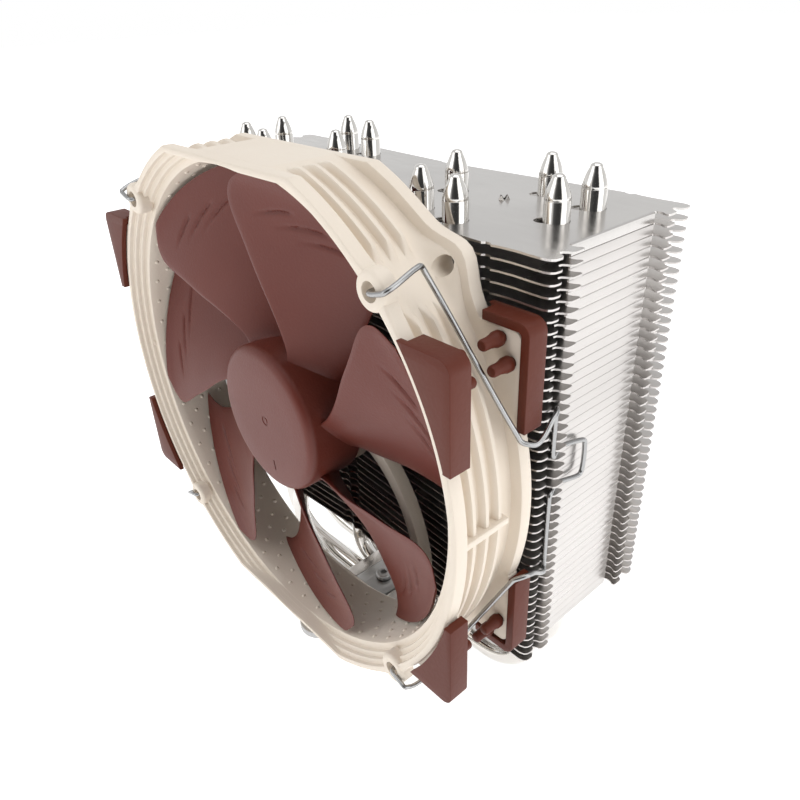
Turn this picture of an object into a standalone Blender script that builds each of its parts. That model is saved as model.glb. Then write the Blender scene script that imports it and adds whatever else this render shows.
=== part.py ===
# Tower cooler for a processor: a finned heatsink on six U-shaped heat pipes, with a
# round-frame fan clipped to its front. Metres, +Z up. The origin is the centre of the base's
# contact face. The fan is at -Y and blows towards +Y through the fins.

from math import asin, cos, pi, radians, sin, sqrt

import bmesh
import bpy
from mathutils import Matrix, Vector

GAP = 0.0003               # left between touching pieces

# fin stack
FIN_DEPTH = 0.052          # front to back
FIN_HALF_WIDTH = 0.0746
FIN_THICKNESS = 0.0005
FIN_LAYERS = 8             # joined plates that stand for the close-set fins
STACK_BOTTOM_Z = 0.0420
STACK_TOP_Z = 0.1548       # upper face of the top fin
SIDE_WALL_X = 0.0712       # outer face of the folded side walls
SIDE_WALL_THICKNESS = 0.0007
SIDE_WALL_DEPTH = 0.0310
FRONT_V_DEPTH = 0.0035     # how far the fins' front and rear edges draw in at the middle
GROOVE_RADIUS = 0.0020     # groove along the stack's side that takes a wire clip
GROOVE_Y = 0.0204          # groove's distance from the stack's middle

# heat pipes
PIPE_RADIUS = 0.0030
PIPE_SPACE = 0.0005        # between two pipes in the base
PIPE_FLOOR = 0.0038        # base's thickness under the pipes
PIPE_TOP_Z = 0.1650
PIPE_COLLAR = 0.0050       # straight part above the top fin
PIPE_TIP_RADIUS = 0.0014
PIPE_MAX_BEND = 0.0180
PIPE_STRAIGHT_HALF = 0.0130
PIPE_SIDES = 8
# where the six right-hand legs pass through the fins, front pipe first
RIGHT_LEGS = ((0.0420, -0.0185), (0.0290, -0.0165), (0.0590, -0.0045),
              (0.0240, 0.0005), (0.0590, 0.0090), (0.0440, 0.0125))

# base, clamp and mounting bar
BASE_HALF_X = 0.0200
BASE_EDGE = 0.00175        # base outside the first and last pipe
CLAMP_HALF_X = 0.0125
CLAMP_COVER = 0.0028       # clamp's thickness over the pipes
BAR_HALF_WIDTH = 0.0070
BAR_HALF_LENGTH = 0.0475
BAR_THICKNESS = 0.0025
BAR_BOLT_Y = 0.0120
MOUNT_PITCH = 0.0830       # between the two sprung screws

# sprung screws
SCREW_RADIUS = 0.0019
SCREW_HEAD_RADIUS = 0.0042
SCREW_HEAD_HEIGHT = 0.0030
SCREW_TIP_Z = 0.0085
SPRING_LENGTH = 0.0065
SPRING_RADIUS = 0.0030     # middle of the wire
SPRING_WIRE_RADIUS = 0.00045
SPRING_TURNS = 4
SCREW_CLIP_RADIUS = 0.0037
SCREW_CLIP_THICKNESS = 0.0010

# fan
FAN_WIDTH = 0.1500
FAN_HALF_HEIGHT = 0.0700
FAN_DEPTH = 0.0250
FAN_CENTRE_Z = 0.0980
PAD_PROUD = 0.0012         # how far the rubber pads stand out of the frame's faces
RIM_RADIUS = 0.0753
RIM_DEPTH = 0.0038         # thickness of the front and rear flanges
WALL_RADIUS = 0.0718
TUNNEL_RADIUS = 0.0688
INLET_RADIUS = 0.0734
INLET_STEPS = 3
INLET_STEP_DEPTH = 0.0014
INLET_HALF_HEIGHT = 0.0684
RIB_RADIUS = 0.0736
RIB_WIDTH = 0.0012
RIB_DEPTHS = (0.0075, 0.0115, 0.0155)
HOLE_PITCH = 0.1050
HOLE_RADIUS = 0.0022
FRONT_EAR_RADIUS = 0.0044
REAR_EAR_RADIUS = 0.0056
CROSS_RIB_HALF = 0.0008

# motor
HUB_RADIUS = 0.0215
HUB_FACE_DEPTH = 0.0023    # behind the frame's front face
HUB_REAR_DEPTH = 0.0190
HUB_WALL = 0.0017
MOTOR_PLATE_RADIUS = 0.0205
MOTOR_PLATE_DEPTH = 0.0205
STRUTS = 4
STRUT_HALF_WIDTH = 0.0020
STRUT_START = radians(-12)
STRUT_SWEEP = radians(-44)
SHAFT_RADIUS = 0.0015
TUBE_RADIUS = 0.0046
YOKE_WALL = 0.0010
MAGNET_WALL = 0.0015
CORE_LENGTH = 0.0060
CORE_DEPTH = 0.0085
TEETH = 4

# blades
BLADES = 7
BLADE_TIP_RADIUS = 0.0674
BLADE_THICKNESS = 0.0013
FIRST_BLADE = radians(94.5)
BLADE_ROOT_OVERLAP = 0.0007  # how far a blade reaches into the hub's wall
# radius, leading and trailing angle, leading and trailing depth
BLADE_SECTIONS = ((HUB_RADIUS - BLADE_ROOT_OVERLAP, -27, -58, 0.0080, 0.0180),
                  (0.0300, -17, -52, 0.0066, 0.0182),
                  (0.0400, -8, -47, 0.0055, 0.0178), (0.0500, -3, -45, 0.0047, 0.0172),
                  (0.0590, 0, -45, 0.0042, 0.0166), (0.0640, -1.5, -47, 0.0042, 0.0162))
BLADE_TIP_ANGLES = (-7, -50)
CHORD_STEPS = 5

# corner pads
PAD_TOP_Z = 0.0455         # from the fan's middle
PAD_LOW_Z = 0.0208
PAD_WALL = 0.0022
PAD_SKIRT_DEPTH = 0.0044
PAD_RING_CLEARANCE = 0.0006
PEG_PLACES = ((0.0675, 0.0408), (0.0702, 0.0360))
PEG_LENGTH = 0.0062        # behind the flange
PEG_NECK_RADIUS = 0.0011
PEG_BULB_RADIUS = 0.0020
PEG_TAIL_RADIUS = 0.0013
WING_RECESS = 0.0006       # corner plates' faces lie this far inside the rim's face

# wire clips
WIRE_RADIUS = 0.0006
HOOK_Z = 0.0225            # half the length of the wire's run in the groove
CLIP_BEND_Z = 0.0187
CLIP_PIN = 0.0028          # how far the wire's ends reach into the fan's front holes
LOOP_UNDER_FIN = 0.0015    # the finger loop's lower leg hangs this far below a fin
LOOP_HEIGHT = 0.0103       # between the finger loop's two legs
LOOP_DROP = 0.0018         # how much lower the loop's far side lies than its roots
LOOP_REACH = 0.0146        # from the groove to the loop's far side
LOOP_STANDOFF = 0.0017     # from the side wall to the loop's far side

RING_SEGMENTS = 40

fan_front_y = -FIN_DEPTH / 2 - GAP - PAD_PROUD - FAN_DEPTH
pad_outer_x = FAN_WIDTH / 2
wing_x = pad_outer_x - PAD_WALL - GAP
wing_top_z = PAD_TOP_Z - PAD_WALL - GAP
fin_pitch = (STACK_TOP_Z - STACK_BOTTOM_Z) / FIN_LAYERS
pipe_pitch = 2 * PIPE_RADIUS + PIPE_SPACE
pipe_base_z = PIPE_FLOOR + PIPE_RADIUS
base_half_y = (len(RIGHT_LEGS) - 1) / 2 * pipe_pitch + PIPE_RADIUS + BASE_EDGE
clamp_top_z = pipe_base_z + PIPE_RADIUS + CLAMP_COVER
bar_bottom_z = clamp_top_z + GAP
bar_top_z = bar_bottom_z + BAR_THICKNESS
hub_inner_radius = HUB_RADIUS - HUB_WALL
yoke_radius = hub_inner_radius - GAP
magnet_radius = yoke_radius - YOKE_WALL - GAP
core_radius = magnet_radius - MAGNET_WALL - 2 * GAP
# the finger loop's legs pass on each side of the fin nearest the fan's middle
loop_fin = round((FAN_CENTRE_Z - STACK_BOTTOM_Z) / fin_pitch)
loop_low_z = STACK_BOTTOM_Z + loop_fin * fin_pitch - LOOP_UNDER_FIN - FAN_CENTRE_Z
loop_top_z = loop_low_z + LOOP_HEIGHT


def remove_everything():
    for thing in list(bpy.data.objects):
        bpy.data.objects.remove(thing, do_unlink=True)


def finish(name, colour, roughness, metallic):
    material = bpy.data.materials.new(name)
    material.use_nodes = True
    shader = material.node_tree.nodes["Principled BSDF"]
    shader.inputs["Base Color"].default_value = (*colour, 1.0)
    shader.inputs["Roughness"].default_value = roughness
    shader.inputs["Metallic"].default_value = metallic
    material.diffuse_color = (*colour, 1.0)
    return material


# ---- solids as bmesh bodies ------------------------------------------------------------

def turned_point(axis, radius, angle, along):
    if axis == "Y":
        return Vector((radius * cos(angle), along, radius * sin(angle)))
    return Vector((radius * cos(angle), radius * sin(angle), along))


def add_prism(body, outline, axis, low, high):
    # outline: (x, z) points for axis Y, (x, y) points for axis Z, (y, z) points for axis X
    def place(point, along):
        if axis == "Y":
            return Vector((point[0], along, point[1]))
        if axis == "Z":
            return Vector((point[0], point[1], along))
        return Vector((along, point[0], point[1]))
    lower = [body.verts.new(place(point, low)) for point in outline]
    upper = [body.verts.new(place(point, high)) for point in outline]
    count = len(outline)
    body.faces.new(lower)
    body.faces.new(list(reversed(upper)))
    for i in range(count):
        j = (i + 1) % count
        body.faces.new((lower[i], upper[i], upper[j], lower[j]))


def add_box(body, low, high):
    outline = ((low[0], low[1]), (high[0], low[1]), (high[0], high[1]), (low[0], high[1]))
    add_prism(body, outline, "Z", low[2], high[2])


def add_turned(body, profile, segments, axis, centre=Vector(), start=0.0):
    # profile: closed loop of (radius, along); a point at radius 0 is a pole
    rings = []
    for radius, along in profile:
        if radius < 1e-7:
            rings.append([body.verts.new(centre + turned_point(axis, 0.0, 0.0, along))])
            continue
        rings.append([body.verts.new(centre + turned_point(axis, radius, start + 2 * pi * i / segments, along))
                      for i in range(segments)])
    for here, there in zip(rings, rings[1:] + rings[:1]):
        if len(here) == 1 and len(there) == 1:
            continue
        for i in range(segments):
            j = (i + 1) % segments
            corners = [here[i % len(here)], here[j % len(here)], there[j % len(there)], there[i % len(there)]]
            body.faces.new(list(dict.fromkeys(corners)))


def add_disc(body, centre, radius, segments, axis, low, high):
    turn = pi / segments
    outline = [(centre[0] + radius * cos(turn + 2 * pi * i / segments),
                centre[1] + radius * sin(turn + 2 * pi * i / segments)) for i in range(segments)]
    add_prism(body, outline, axis, low, high)


def add_tube(body, path, radii, sides, start=Vector((0, 0, 1))):
    rings = []
    side = None
    for i, point in enumerate(path):
        ahead = path[min(i + 1, len(path) - 1)] - path[max(i - 1, 0)]
        ahead.normalize()
        if side is None:
            side = ahead.cross(start)
            if side.length < 1e-6:
                side = ahead.cross(Vector((0, 1, 0)))
        side = (side - ahead * side.dot(ahead)).normalized()
        up = ahead.cross(side)
        turns = [2 * pi * (k + 0.5) / sides for k in range(sides)]
        rings.append([body.verts.new(point + radii[i] * (side * cos(a) + up * sin(a))) for a in turns])
    for here, there in zip(rings, rings[1:]):
        for k in range(sides):
            m = (k + 1) % sides
            body.faces.new((here[k], here[m], there[m], there[k]))
    body.faces.new(list(reversed(rings[0])))
    body.faces.new(rings[-1])


def solid(name, body, material=None):
    bmesh.ops.recalc_face_normals(body, faces=body.faces)
    mesh = bpy.data.meshes.new(name)
    body.to_mesh(mesh)
    body.free()
    made = bpy.data.objects.new(name, mesh)
    bpy.context.scene.collection.objects.link(made)
    if material is not None:
        mesh.materials.append(material)
    return made


def build(name, material, *steps):
    body = bmesh.new()
    for add, arguments in steps:
        add(body, *arguments)
    return solid(name, body, material)


def combine(target, operation, *others):
    # applies an exact Boolean with each other solid and removes it
    for other in others:
        modifier = target.modifiers.new("shape", "BOOLEAN")
        modifier.operation = operation
        modifier.solver = "EXACT"
        modifier.object = other
        graph = bpy.context.evaluated_depsgraph_get()
        shaped = bpy.data.meshes.new_from_object(target.evaluated_get(graph))
        target.modifiers.clear()
        target.data = shaped
        bpy.data.objects.remove(other, do_unlink=True)


def shade_round(made, angle=35):
    made.data.shade_smooth()
    made.data.set_sharp_from_angle(angle=radians(angle))


def arc(centre, radius, start, end, steps):
    return [(centre[0] + radius * cos(start + (end - start) * i / steps),
             centre[1] + radius * sin(start + (end - start) * i / steps)) for i in range(steps + 1)]


def mirrored(outline, sign_x, sign_z):
    return [(x * sign_x, z * sign_z) for x, z in outline]


# ---- heatsink --------------------------------------------------------------------------

def leg_places(index):
    # the left-hand legs are the right-hand ones turned half a turn about the stack's middle
    right = RIGHT_LEGS[index]
    left = RIGHT_LEGS[len(RIGHT_LEGS) - 1 - index]
    return right, (-left[0], -left[1])


def slot_y(index):
    return (index - (len(RIGHT_LEGS) - 1) / 2) * pipe_pitch


def leg_path(index, leg):
    # from the middle of the base up to the leg's tip
    x, y = leg
    side = 1 if x > 0 else -1
    bend = min(abs(x) - PIPE_STRAIGHT_HALF, PIPE_MAX_BEND)
    start_y = slot_y(index)
    path = [Vector((side * (abs(x) - bend), start_y, pipe_base_z))]
    for step in range(1, 5):
        angle = pi / 2 * step / 4
        path.append(Vector((side * (abs(x) - bend + bend * sin(angle)), start_y,
                            pipe_base_z + bend * (1 - cos(angle)))))
    low = pipe_base_z + PIPE_MAX_BEND + 0.001
    high = STACK_BOTTOM_Z - 0.001
    for step in range(4):
        part = step / 3
        ease = (1 - cos(pi * part)) / 2
        path.append(Vector((x, start_y + (y - start_y) * ease, low + (high - low) * part)))
    taper_z = STACK_TOP_Z + PIPE_COLLAR
    path.append(Vector((x, y, taper_z)))
    path.append(Vector((x, y, PIPE_TOP_Z - 0.0009)))
    path.append(Vector((x, y, PIPE_TOP_Z)))
    return path


def heat_pipes(material):
    for index in range(len(RIGHT_LEGS)):
        right, left = leg_places(index)
        going_up = leg_path(index, right)
        coming_down = leg_path(index, left)
        path = list(reversed(coming_down)) + going_up
        radii = [PIPE_RADIUS] * len(path)
        for end, tip in ((0, 1), (-1, -2)):
            radii[end] = PIPE_TIP_RADIUS * 0.55
            radii[tip] = PIPE_TIP_RADIUS
        body = bmesh.new()
        add_tube(body, path, radii, PIPE_SIDES, Vector((0, 1, 0)))
        shade_round(solid("heat_pipe_%d" % (index + 1), body, material), 50)


def fin_outline():
    # one quarter of the outline, from the middle of the front edge to the side, then mirrored
    front = FIN_DEPTH / 2
    half_wall = SIDE_WALL_DEPTH / 2
    tip = FIN_HALF_WIDTH
    groove = list(reversed(arc((tip, -GROOVE_Y), GROOVE_RADIUS, pi / 2, 3 * pi / 2, 4)))
    quarter = ([(0.002, FRONT_V_DEPTH - front), (0.058, -front), (tip - 0.0025, -front),
                (tip, 0.0020 - front)] + groove
               + [(tip, -half_wall - 0.0012), (SIDE_WALL_X, -half_wall)])
    right = quarter + [(x, -y) for x, y in reversed(quarter)]
    left = [(-x, y) for x, y in reversed(right)]
    return right + left


def pipe_holes(low, high):
    body = bmesh.new()
    hole = PIPE_RADIUS + GAP / cos(pi / PIPE_SIDES) + 0.0001
    for index in range(len(RIGHT_LEGS)):
        for x, y in leg_places(index):
            add_disc(body, (x, y), hole, PIPE_SIDES, "Z", low, high)
    return solid("pipe_holes", body)


def fin_stack(material):
    body = bmesh.new()
    outline = fin_outline()
    for layer in range(FIN_LAYERS):
        low = STACK_BOTTOM_Z + layer * fin_pitch
        add_prism(body, outline, "Z", low, low + FIN_THICKNESS)
    stack = solid("fin_stack", body, material)
    combine(stack, "DIFFERENCE", pipe_holes(STACK_BOTTOM_Z - 0.01, STACK_TOP_Z + 0.01))
    walls = bmesh.new()
    wall_top = STACK_TOP_Z - FIN_THICKNESS - GAP
    for side in (-1, 1):
        edges = sorted((side * SIDE_WALL_X, side * (SIDE_WALL_X - SIDE_WALL_THICKNESS)))
        add_box(walls, (edges[0], -SIDE_WALL_DEPTH / 2 + 0.0004, STACK_BOTTOM_Z - 0.0006),
                (edges[1], SIDE_WALL_DEPTH / 2 - 0.0004, wall_top))
    combine(stack, "UNION", solid("walls", walls))
    return stack


def top_fin(material):
    body = bmesh.new()
    add_prism(body, fin_outline(), "Z", STACK_TOP_Z - FIN_THICKNESS, STACK_TOP_Z)
    plate = solid("top_fin", body, material)
    combine(plate, "DIFFERENCE", pipe_holes(STACK_TOP_Z - 0.01, STACK_TOP_Z + 0.01))
    return plate


def pipe_grooves(half_length):
    # one long cutter for each pipe's run through the base
    body = bmesh.new()
    radius = PIPE_RADIUS + GAP / cos(pi / PIPE_SIDES)
    for index in range(len(RIGHT_LEGS)):
        add_disc(body, (slot_y(index), pipe_base_z), radius, PIPE_SIDES, "X", -half_length, half_length)
    return solid("pipe_grooves", body)


def base_plate(material):
    bevel = 0.0012
    x, y = BASE_HALF_X, base_half_y
    outline = [(x - bevel, -y), (x, bevel - y), (x, y - bevel), (x - bevel, y),
               (bevel - x, y), (-x, y - bevel), (-x, bevel - y), (bevel - x, -y)]
    plate = build("base_plate", material, (add_prism, (outline, "Z", 0.0, pipe_base_z - GAP / 2)))
    combine(plate, "DIFFERENCE", pipe_grooves(0.05))
    return plate


def pipe_clamp(material):
    # upper half of the base: two raised shoulders with a channel for the mounting bar
    low, high = pipe_base_z + GAP / 2, clamp_top_z
    x = CLAMP_HALF_X
    channel = BAR_HALF_WIDTH + GAP
    shoulder = high + BAR_THICKNESS
    outline = [(-x, low), (x, low), (x, shoulder), (channel, shoulder), (channel, high),
               (-channel, high), (-channel, shoulder), (-x, shoulder)]
    clamp = build("pipe_clamp", material, (add_prism, (outline, "Y", -base_half_y, base_half_y)))
    combine(clamp, "DIFFERENCE", pipe_grooves(0.05))
    bolts = bmesh.new()
    for side in (-1, 1):
        add_disc(bolts, (0.0, side * BAR_BOLT_Y), 0.0015 + 2 * GAP, 8, "Z", high - 0.0021, high + 0.01)
    combine(clamp, "DIFFERENCE", solid("bolts", bolts))
    return clamp


def mounting_bar(material):
    half, long = BAR_HALF_WIDTH, BAR_HALF_LENGTH
    end = arc((0, long - half), half, 0, pi, 6)
    outline = end + [(-x, -y) for x, y in end]
    bar = build("mounting_bar", material, (add_prism, (outline, "Z", bar_bottom_z, bar_top_z)))
    holes = bmesh.new()
    for side in (-1, 1):
        add_disc(holes, (0.0, side * MOUNT_PITCH / 2), SCREW_RADIUS + 2 * GAP, 10, "Z", 0.0, 0.05)
        add_disc(holes, (0.0, side * BAR_BOLT_Y), 0.0015 + 2 * GAP, 8, "Z", 0.0, 0.05)
    combine(bar, "DIFFERENCE", solid("holes", holes))
    return bar


def bar_bolts(material):
    for side, name in ((-1, "bar_bolt_front"), (1, "bar_bolt_rear")):
        centre = Vector((0, side * BAR_BOLT_Y, 0))
        head_low = bar_top_z + GAP
        profile = [(0, clamp_top_z - 0.0018), (0.0015, clamp_top_z - 0.0018), (0.0015, head_low),
                   (0.0028, head_low), (0.0028, head_low + 0.0012), (0.0020, head_low + 0.0018),
                   (0, head_low + 0.0018)]
        bolt = build(name, material, (add_turned, (profile, 10, "Z", centre)))
        shade_round(bolt)


def sprung_screws(steel, spring_steel):
    head_low = bar_top_z + GAP + SPRING_LENGTH + 2 * SPRING_WIRE_RADIUS + GAP
    clip_high = bar_bottom_z - GAP
    clip_low = clip_high - SCREW_CLIP_THICKNESS
    neck = SCREW_RADIUS - 0.0005
    for side, name in ((-1, "front"), (1, "rear")):
        centre = Vector((0, side * MOUNT_PITCH / 2, 0))
        profile = [(0, SCREW_TIP_Z), (SCREW_RADIUS - 0.0006, SCREW_TIP_Z), (SCREW_RADIUS, SCREW_TIP_Z + 0.0008),
                   (SCREW_RADIUS, clip_low - GAP), (neck, clip_low - GAP), (neck, clip_high + GAP),
                   (SCREW_RADIUS, clip_high + GAP), (SCREW_RADIUS, head_low), (SCREW_HEAD_RADIUS, head_low),
                   (SCREW_HEAD_RADIUS, head_low + SCREW_HEAD_HEIGHT - 0.0008),
                   (SCREW_HEAD_RADIUS - 0.0008, head_low + SCREW_HEAD_HEIGHT),
                   (0, head_low + SCREW_HEAD_HEIGHT)]
        screw = build("screw_" + name, steel, (add_turned, (profile, 14, "Z")))
        cross = bmesh.new()
        reach, half = SCREW_HEAD_RADIUS * 0.62, 0.0005
        top = head_low + SCREW_HEAD_HEIGHT
        add_box(cross, (-reach, -half, top - 0.0014), (reach, half, top + 0.001))
        combine(screw, "DIFFERENCE", solid("cross", cross))
        cross = bmesh.new()
        add_box(cross, (-half, -reach, top - 0.0014), (half, reach, top + 0.001))
        combine(screw, "DIFFERENCE", solid("cross", cross))
        screw.location = centre
        shade_round(screw)
        ring = [(neck + GAP, clip_low), (SCREW_CLIP_RADIUS, clip_low), (SCREW_CLIP_RADIUS, clip_high),
                (neck + GAP, clip_high)]
        clip = build("screw_clip_" + name, spring_steel, (add_turned, (ring, 14, "Z")))
        clip.location = centre
        shade_round(clip)
        coil_path = []
        steps = SPRING_TURNS * 9
        for i in range(steps + 1):
            turn = 2 * pi * i / 9
            rise = bar_top_z + GAP + SPRING_WIRE_RADIUS + SPRING_LENGTH * i / steps
            coil_path.append(Vector((SPRING_RADIUS * cos(turn), SPRING_RADIUS * sin(turn), rise)))
        coil = bmesh.new()
        add_tube(coil, coil_path, [SPRING_WIRE_RADIUS] * len(coil_path), 5)
        spring = solid("screw_spring_" + name, coil, spring_steel)
        spring.location = centre
        shade_round(spring, 60)


# ---- fan frame -------------------------------------------------------------------------

def fan_point(x, depth, z):
    return Vector((x, fan_front_y + depth, FAN_CENTRE_Z + z))


def move_to_fan(made):
    # fan pieces are modelled round their own middle, with their depth along +Y from 0
    made.data.transform(Matrix.Translation(fan_point(0, 0, 0)))
    return made


def wing_outline():
    # corner plate that carries a pad, from inside the wall out to the pad's skirt
    inner = WALL_RADIUS - 0.0010
    low_angle = asin(PAD_LOW_Z / RIM_RADIUS)
    high_angle = asin(min(wing_top_z / RIM_RADIUS, 0.95))
    corner = 0.0020
    low_x = sqrt(RIM_RADIUS ** 2 - PAD_LOW_Z ** 2) - 0.0001
    return ([(inner * cos(low_angle), inner * sin(low_angle)), (min(low_x, wing_x), PAD_LOW_Z)]
            + [(wing_x, PAD_LOW_Z + 0.0010)]
            + arc((wing_x - corner, wing_top_z - corner), corner, 0, pi / 2, 3)
            + [(RIM_RADIUS * cos(high_angle) - 0.0010, wing_top_z),
               (inner * cos(high_angle), inner * sin(high_angle))])


def frame_profile(with_ribs=True):
    rear = FAN_DEPTH
    profile = [(TUNNEL_RADIUS, 0.0), (RIM_RADIUS - 0.0006, 0.0), (RIM_RADIUS, 0.0006),
               (RIM_RADIUS, RIM_DEPTH), (WALL_RADIUS, RIM_DEPTH)]
    for depth in RIB_DEPTHS if with_ribs else ():
        profile += [(WALL_RADIUS, depth - RIB_WIDTH), (RIB_RADIUS, depth - RIB_WIDTH / 2),
                    (RIB_RADIUS, depth + RIB_WIDTH / 2), (WALL_RADIUS, depth + RIB_WIDTH)]
    profile += [(WALL_RADIUS, rear - RIM_DEPTH), (RIM_RADIUS - 0.0003, rear - RIM_DEPTH),
                (RIM_RADIUS - 0.0003, rear), (TUNNEL_RADIUS, rear)]
    return profile


def strut_outline(index):
    # a curved rib from the motor plate out to the tunnel wall
    start = STRUT_START + 2 * pi * index / STRUTS
    inner, outer = MOTOR_PLATE_RADIUS - 0.0020, TUNNEL_RADIUS + 0.0008
    steps = 6
    one, other = [], []
    for i in range(steps + 1):
        part = i / steps
        radius = inner + (outer - inner) * part
        middle = start + STRUT_SWEEP * part ** 1.1
        half = STRUT_HALF_WIDTH / radius * (1.5 if i in (0, steps) else 1.1)
        one.append((radius * cos(middle + half), radius * sin(middle + half)))
        other.append((radius * cos(middle - half), radius * sin(middle - half)))
    return one + list(reversed(other))


def ear_places():
    half = HOLE_PITCH / 2
    return [(x, z) for x in (-half, half) for z in (-half, half)]


def fan_frame(material):
    frame = build("fan_frame", material, (add_turned, (frame_profile(), RING_SEGMENTS, "Y")))
    high = FAN_HALF_HEIGHT
    flats = bmesh.new()
    for side in (-1, 1):
        low, top = sorted((side * high, side * (high + 0.02)))
        add_box(flats, (-0.1, -0.01, low), (0.1, FAN_DEPTH + 0.01, top))
    combine(frame, "DIFFERENCE", solid("flats", flats))
    # flanges' corner plates and rear ears, then the tunnel and the stepped inlet
    wings = bmesh.new()
    for sign_x in (-1, 1):
        for sign_z in (-1, 1):
            outline = mirrored(wing_outline(), sign_x, sign_z)
            add_prism(wings, outline, "Y", WING_RECESS, RIM_DEPTH)
            add_prism(wings, outline, "Y", FAN_DEPTH - RIM_DEPTH, FAN_DEPTH - WING_RECESS)
    combine(frame, "UNION", solid("wings", wings))
    ears = bmesh.new()
    for place in ear_places():
        add_disc(ears, place, REAR_EAR_RADIUS, 14, "Y", FAN_DEPTH - RIM_DEPTH, FAN_DEPTH)
    combine(frame, "UNION", solid("ears", ears))
    for step in range(INLET_STEPS):
        radius = INLET_RADIUS - step * (INLET_RADIUS - TUNNEL_RADIUS) / (INLET_STEPS + 0.5)
        depth = INLET_STEP_DEPTH * (step + 1)
        limit = min(INLET_HALF_HEIGHT, radius)
        start = asin(limit / radius) if limit < radius else pi / 2
        right = arc((0, 0), radius, -start, start, 16)
        cutter = build("step", None, (add_prism, (right + [(-x, -z) for x, z in right], "Y", -0.01, depth)))
        combine(frame, "DIFFERENCE", cutter)
    tunnel = bmesh.new()
    add_disc(tunnel, (0, 0), TUNNEL_RADIUS, RING_SEGMENTS, "Y", -0.01, FAN_DEPTH + 0.01)
    combine(frame, "DIFFERENCE", solid("tunnel", tunnel))
    front_ears = bmesh.new()
    for place in ear_places():
        add_disc(front_ears, place, FRONT_EAR_RADIUS, 12, "Y", 0.0001, RIM_DEPTH - 0.0001)
    cross_low = sqrt(WALL_RADIUS ** 2 - 0.009 ** 2) - 0.001
    for side in (-1, 1):
        ends = sorted((side * cross_low, side * (RIB_RADIUS + 0.0006)))
        add_box(front_ears, (ends[0], RIM_DEPTH - 0.0005, -CROSS_RIB_HALF),
                (ends[1], FAN_DEPTH - RIM_DEPTH - 0.0040, CROSS_RIB_HALF))
    combine(frame, "UNION", solid("front_ears", front_ears))
    motor = bmesh.new()
    add_disc(motor, (0, 0), MOTOR_PLATE_RADIUS, 24, "Y", MOTOR_PLATE_DEPTH, FAN_DEPTH - 0.0004)
    plate = solid("motor", motor)
    for index in range(STRUTS):
        rib = bmesh.new()
        add_prism(rib, strut_outline(index), "Y", MOTOR_PLATE_DEPTH + 0.0002, FAN_DEPTH - 0.0002)
        combine(plate, "UNION", solid("rib", rib))
    tube = [(SHAFT_RADIUS + 0.0019, MOTOR_PLATE_DEPTH + 0.001), (TUBE_RADIUS, MOTOR_PLATE_DEPTH + 0.001),
            (TUBE_RADIUS, CORE_DEPTH - 0.0015), (SHAFT_RADIUS + 0.0019, CORE_DEPTH - 0.0015)]
    bore = build("bore", None, (add_disc, ((0, 0), SHAFT_RADIUS + 0.0019, 12, "Y", 0.0, FAN_DEPTH - 0.0014)))
    combine(plate, "DIFFERENCE", bore)
    combine(plate, "UNION", build("tube", None, (add_turned, (tube, 12, "Y", Vector(), pi / 12))))
    combine(frame, "UNION", plate)
    holes = bmesh.new()
    for place in ear_places():
        add_disc(holes, place, HOLE_RADIUS, 12, "Y", -0.01, RIM_DEPTH + 0.001)
        add_disc(holes, place, HOLE_RADIUS, 12, "Y", FAN_DEPTH - RIM_DEPTH - 0.001, FAN_DEPTH + 0.01)
    for sign_x in (-1, 1):
        for sign_z in (-1, 1):
            for x, z in PEG_PLACES:
                add_disc(holes, (x * sign_x, z * sign_z), PEG_NECK_RADIUS + GAP + 0.0001, 8, "Y",
                         -0.01, FAN_DEPTH + 0.01)
    boot_hole = boot_box(GAP)
    add_box(holes, boot_hole[0], boot_hole[1])
    combine(frame, "DIFFERENCE", solid("holes", holes))
    move_to_fan(frame)
    shade_round(frame, 30)
    return frame


def boot_box(extra):
    # the cable's outlet, a notch in the rear flange beside the upper flat
    x = -0.0375
    z = sqrt(RIM_RADIUS ** 2 - x ** 2)
    return ((x - 0.0022 - extra, FAN_DEPTH - RIM_DEPTH - 0.0060 - extra, z - 0.0024 - extra),
            (x + 0.0022 + extra, FAN_DEPTH + extra, z + 0.0010 + extra))


def cable_boot(material):
    low, high = boot_box(0.0)
    inset = 0.0006
    outline = [(low[0], low[2]), (high[0], low[2]), (high[0], high[2] - inset),
               (high[0] - inset, high[2]), (low[0] + inset, high[2]), (low[0], high[2] - inset)]
    move_to_fan(build("cable_boot", material, (add_prism, (outline, "Y", low[1], high[1]))))


# ---- rubber pads -----------------------------------------------------------------------

def pad_outline():
    # plate outside the ring, with a rounded outer corner and a narrow lower end
    inner = RIM_RADIUS + PAD_RING_CLEARANCE
    low, high = asin(PAD_LOW_Z / inner), asin(PAD_TOP_Z / inner)
    corner = 0.0030
    return (list(reversed(arc((0, 0), inner, low, high, 4)))
            + [(pad_outer_x, PAD_LOW_Z)]
            + arc((pad_outer_x - corner, PAD_TOP_Z - corner), corner, 0, pi / 2, 3))


def skirt_outline():
    # L-shaped rim along the pad's top and outer edges
    inner = RIM_RADIUS + PAD_RING_CLEARANCE
    corner = 0.0030
    inside = corner - PAD_WALL
    outer = arc((pad_outer_x - corner, PAD_TOP_Z - corner), corner, 0, pi / 2, 3)
    inner_corner = arc((pad_outer_x - corner, PAD_TOP_Z - corner), inside, pi / 2, 0, 2)
    top_x = inner * cos(asin((PAD_TOP_Z - PAD_WALL) / inner)) + 0.0002
    return ([(pad_outer_x, PAD_LOW_Z)] + outer + [(top_x, PAD_TOP_Z), (top_x, PAD_TOP_Z - PAD_WALL)]
            + inner_corner + [(pad_outer_x - PAD_WALL, PAD_LOW_Z)])


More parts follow.
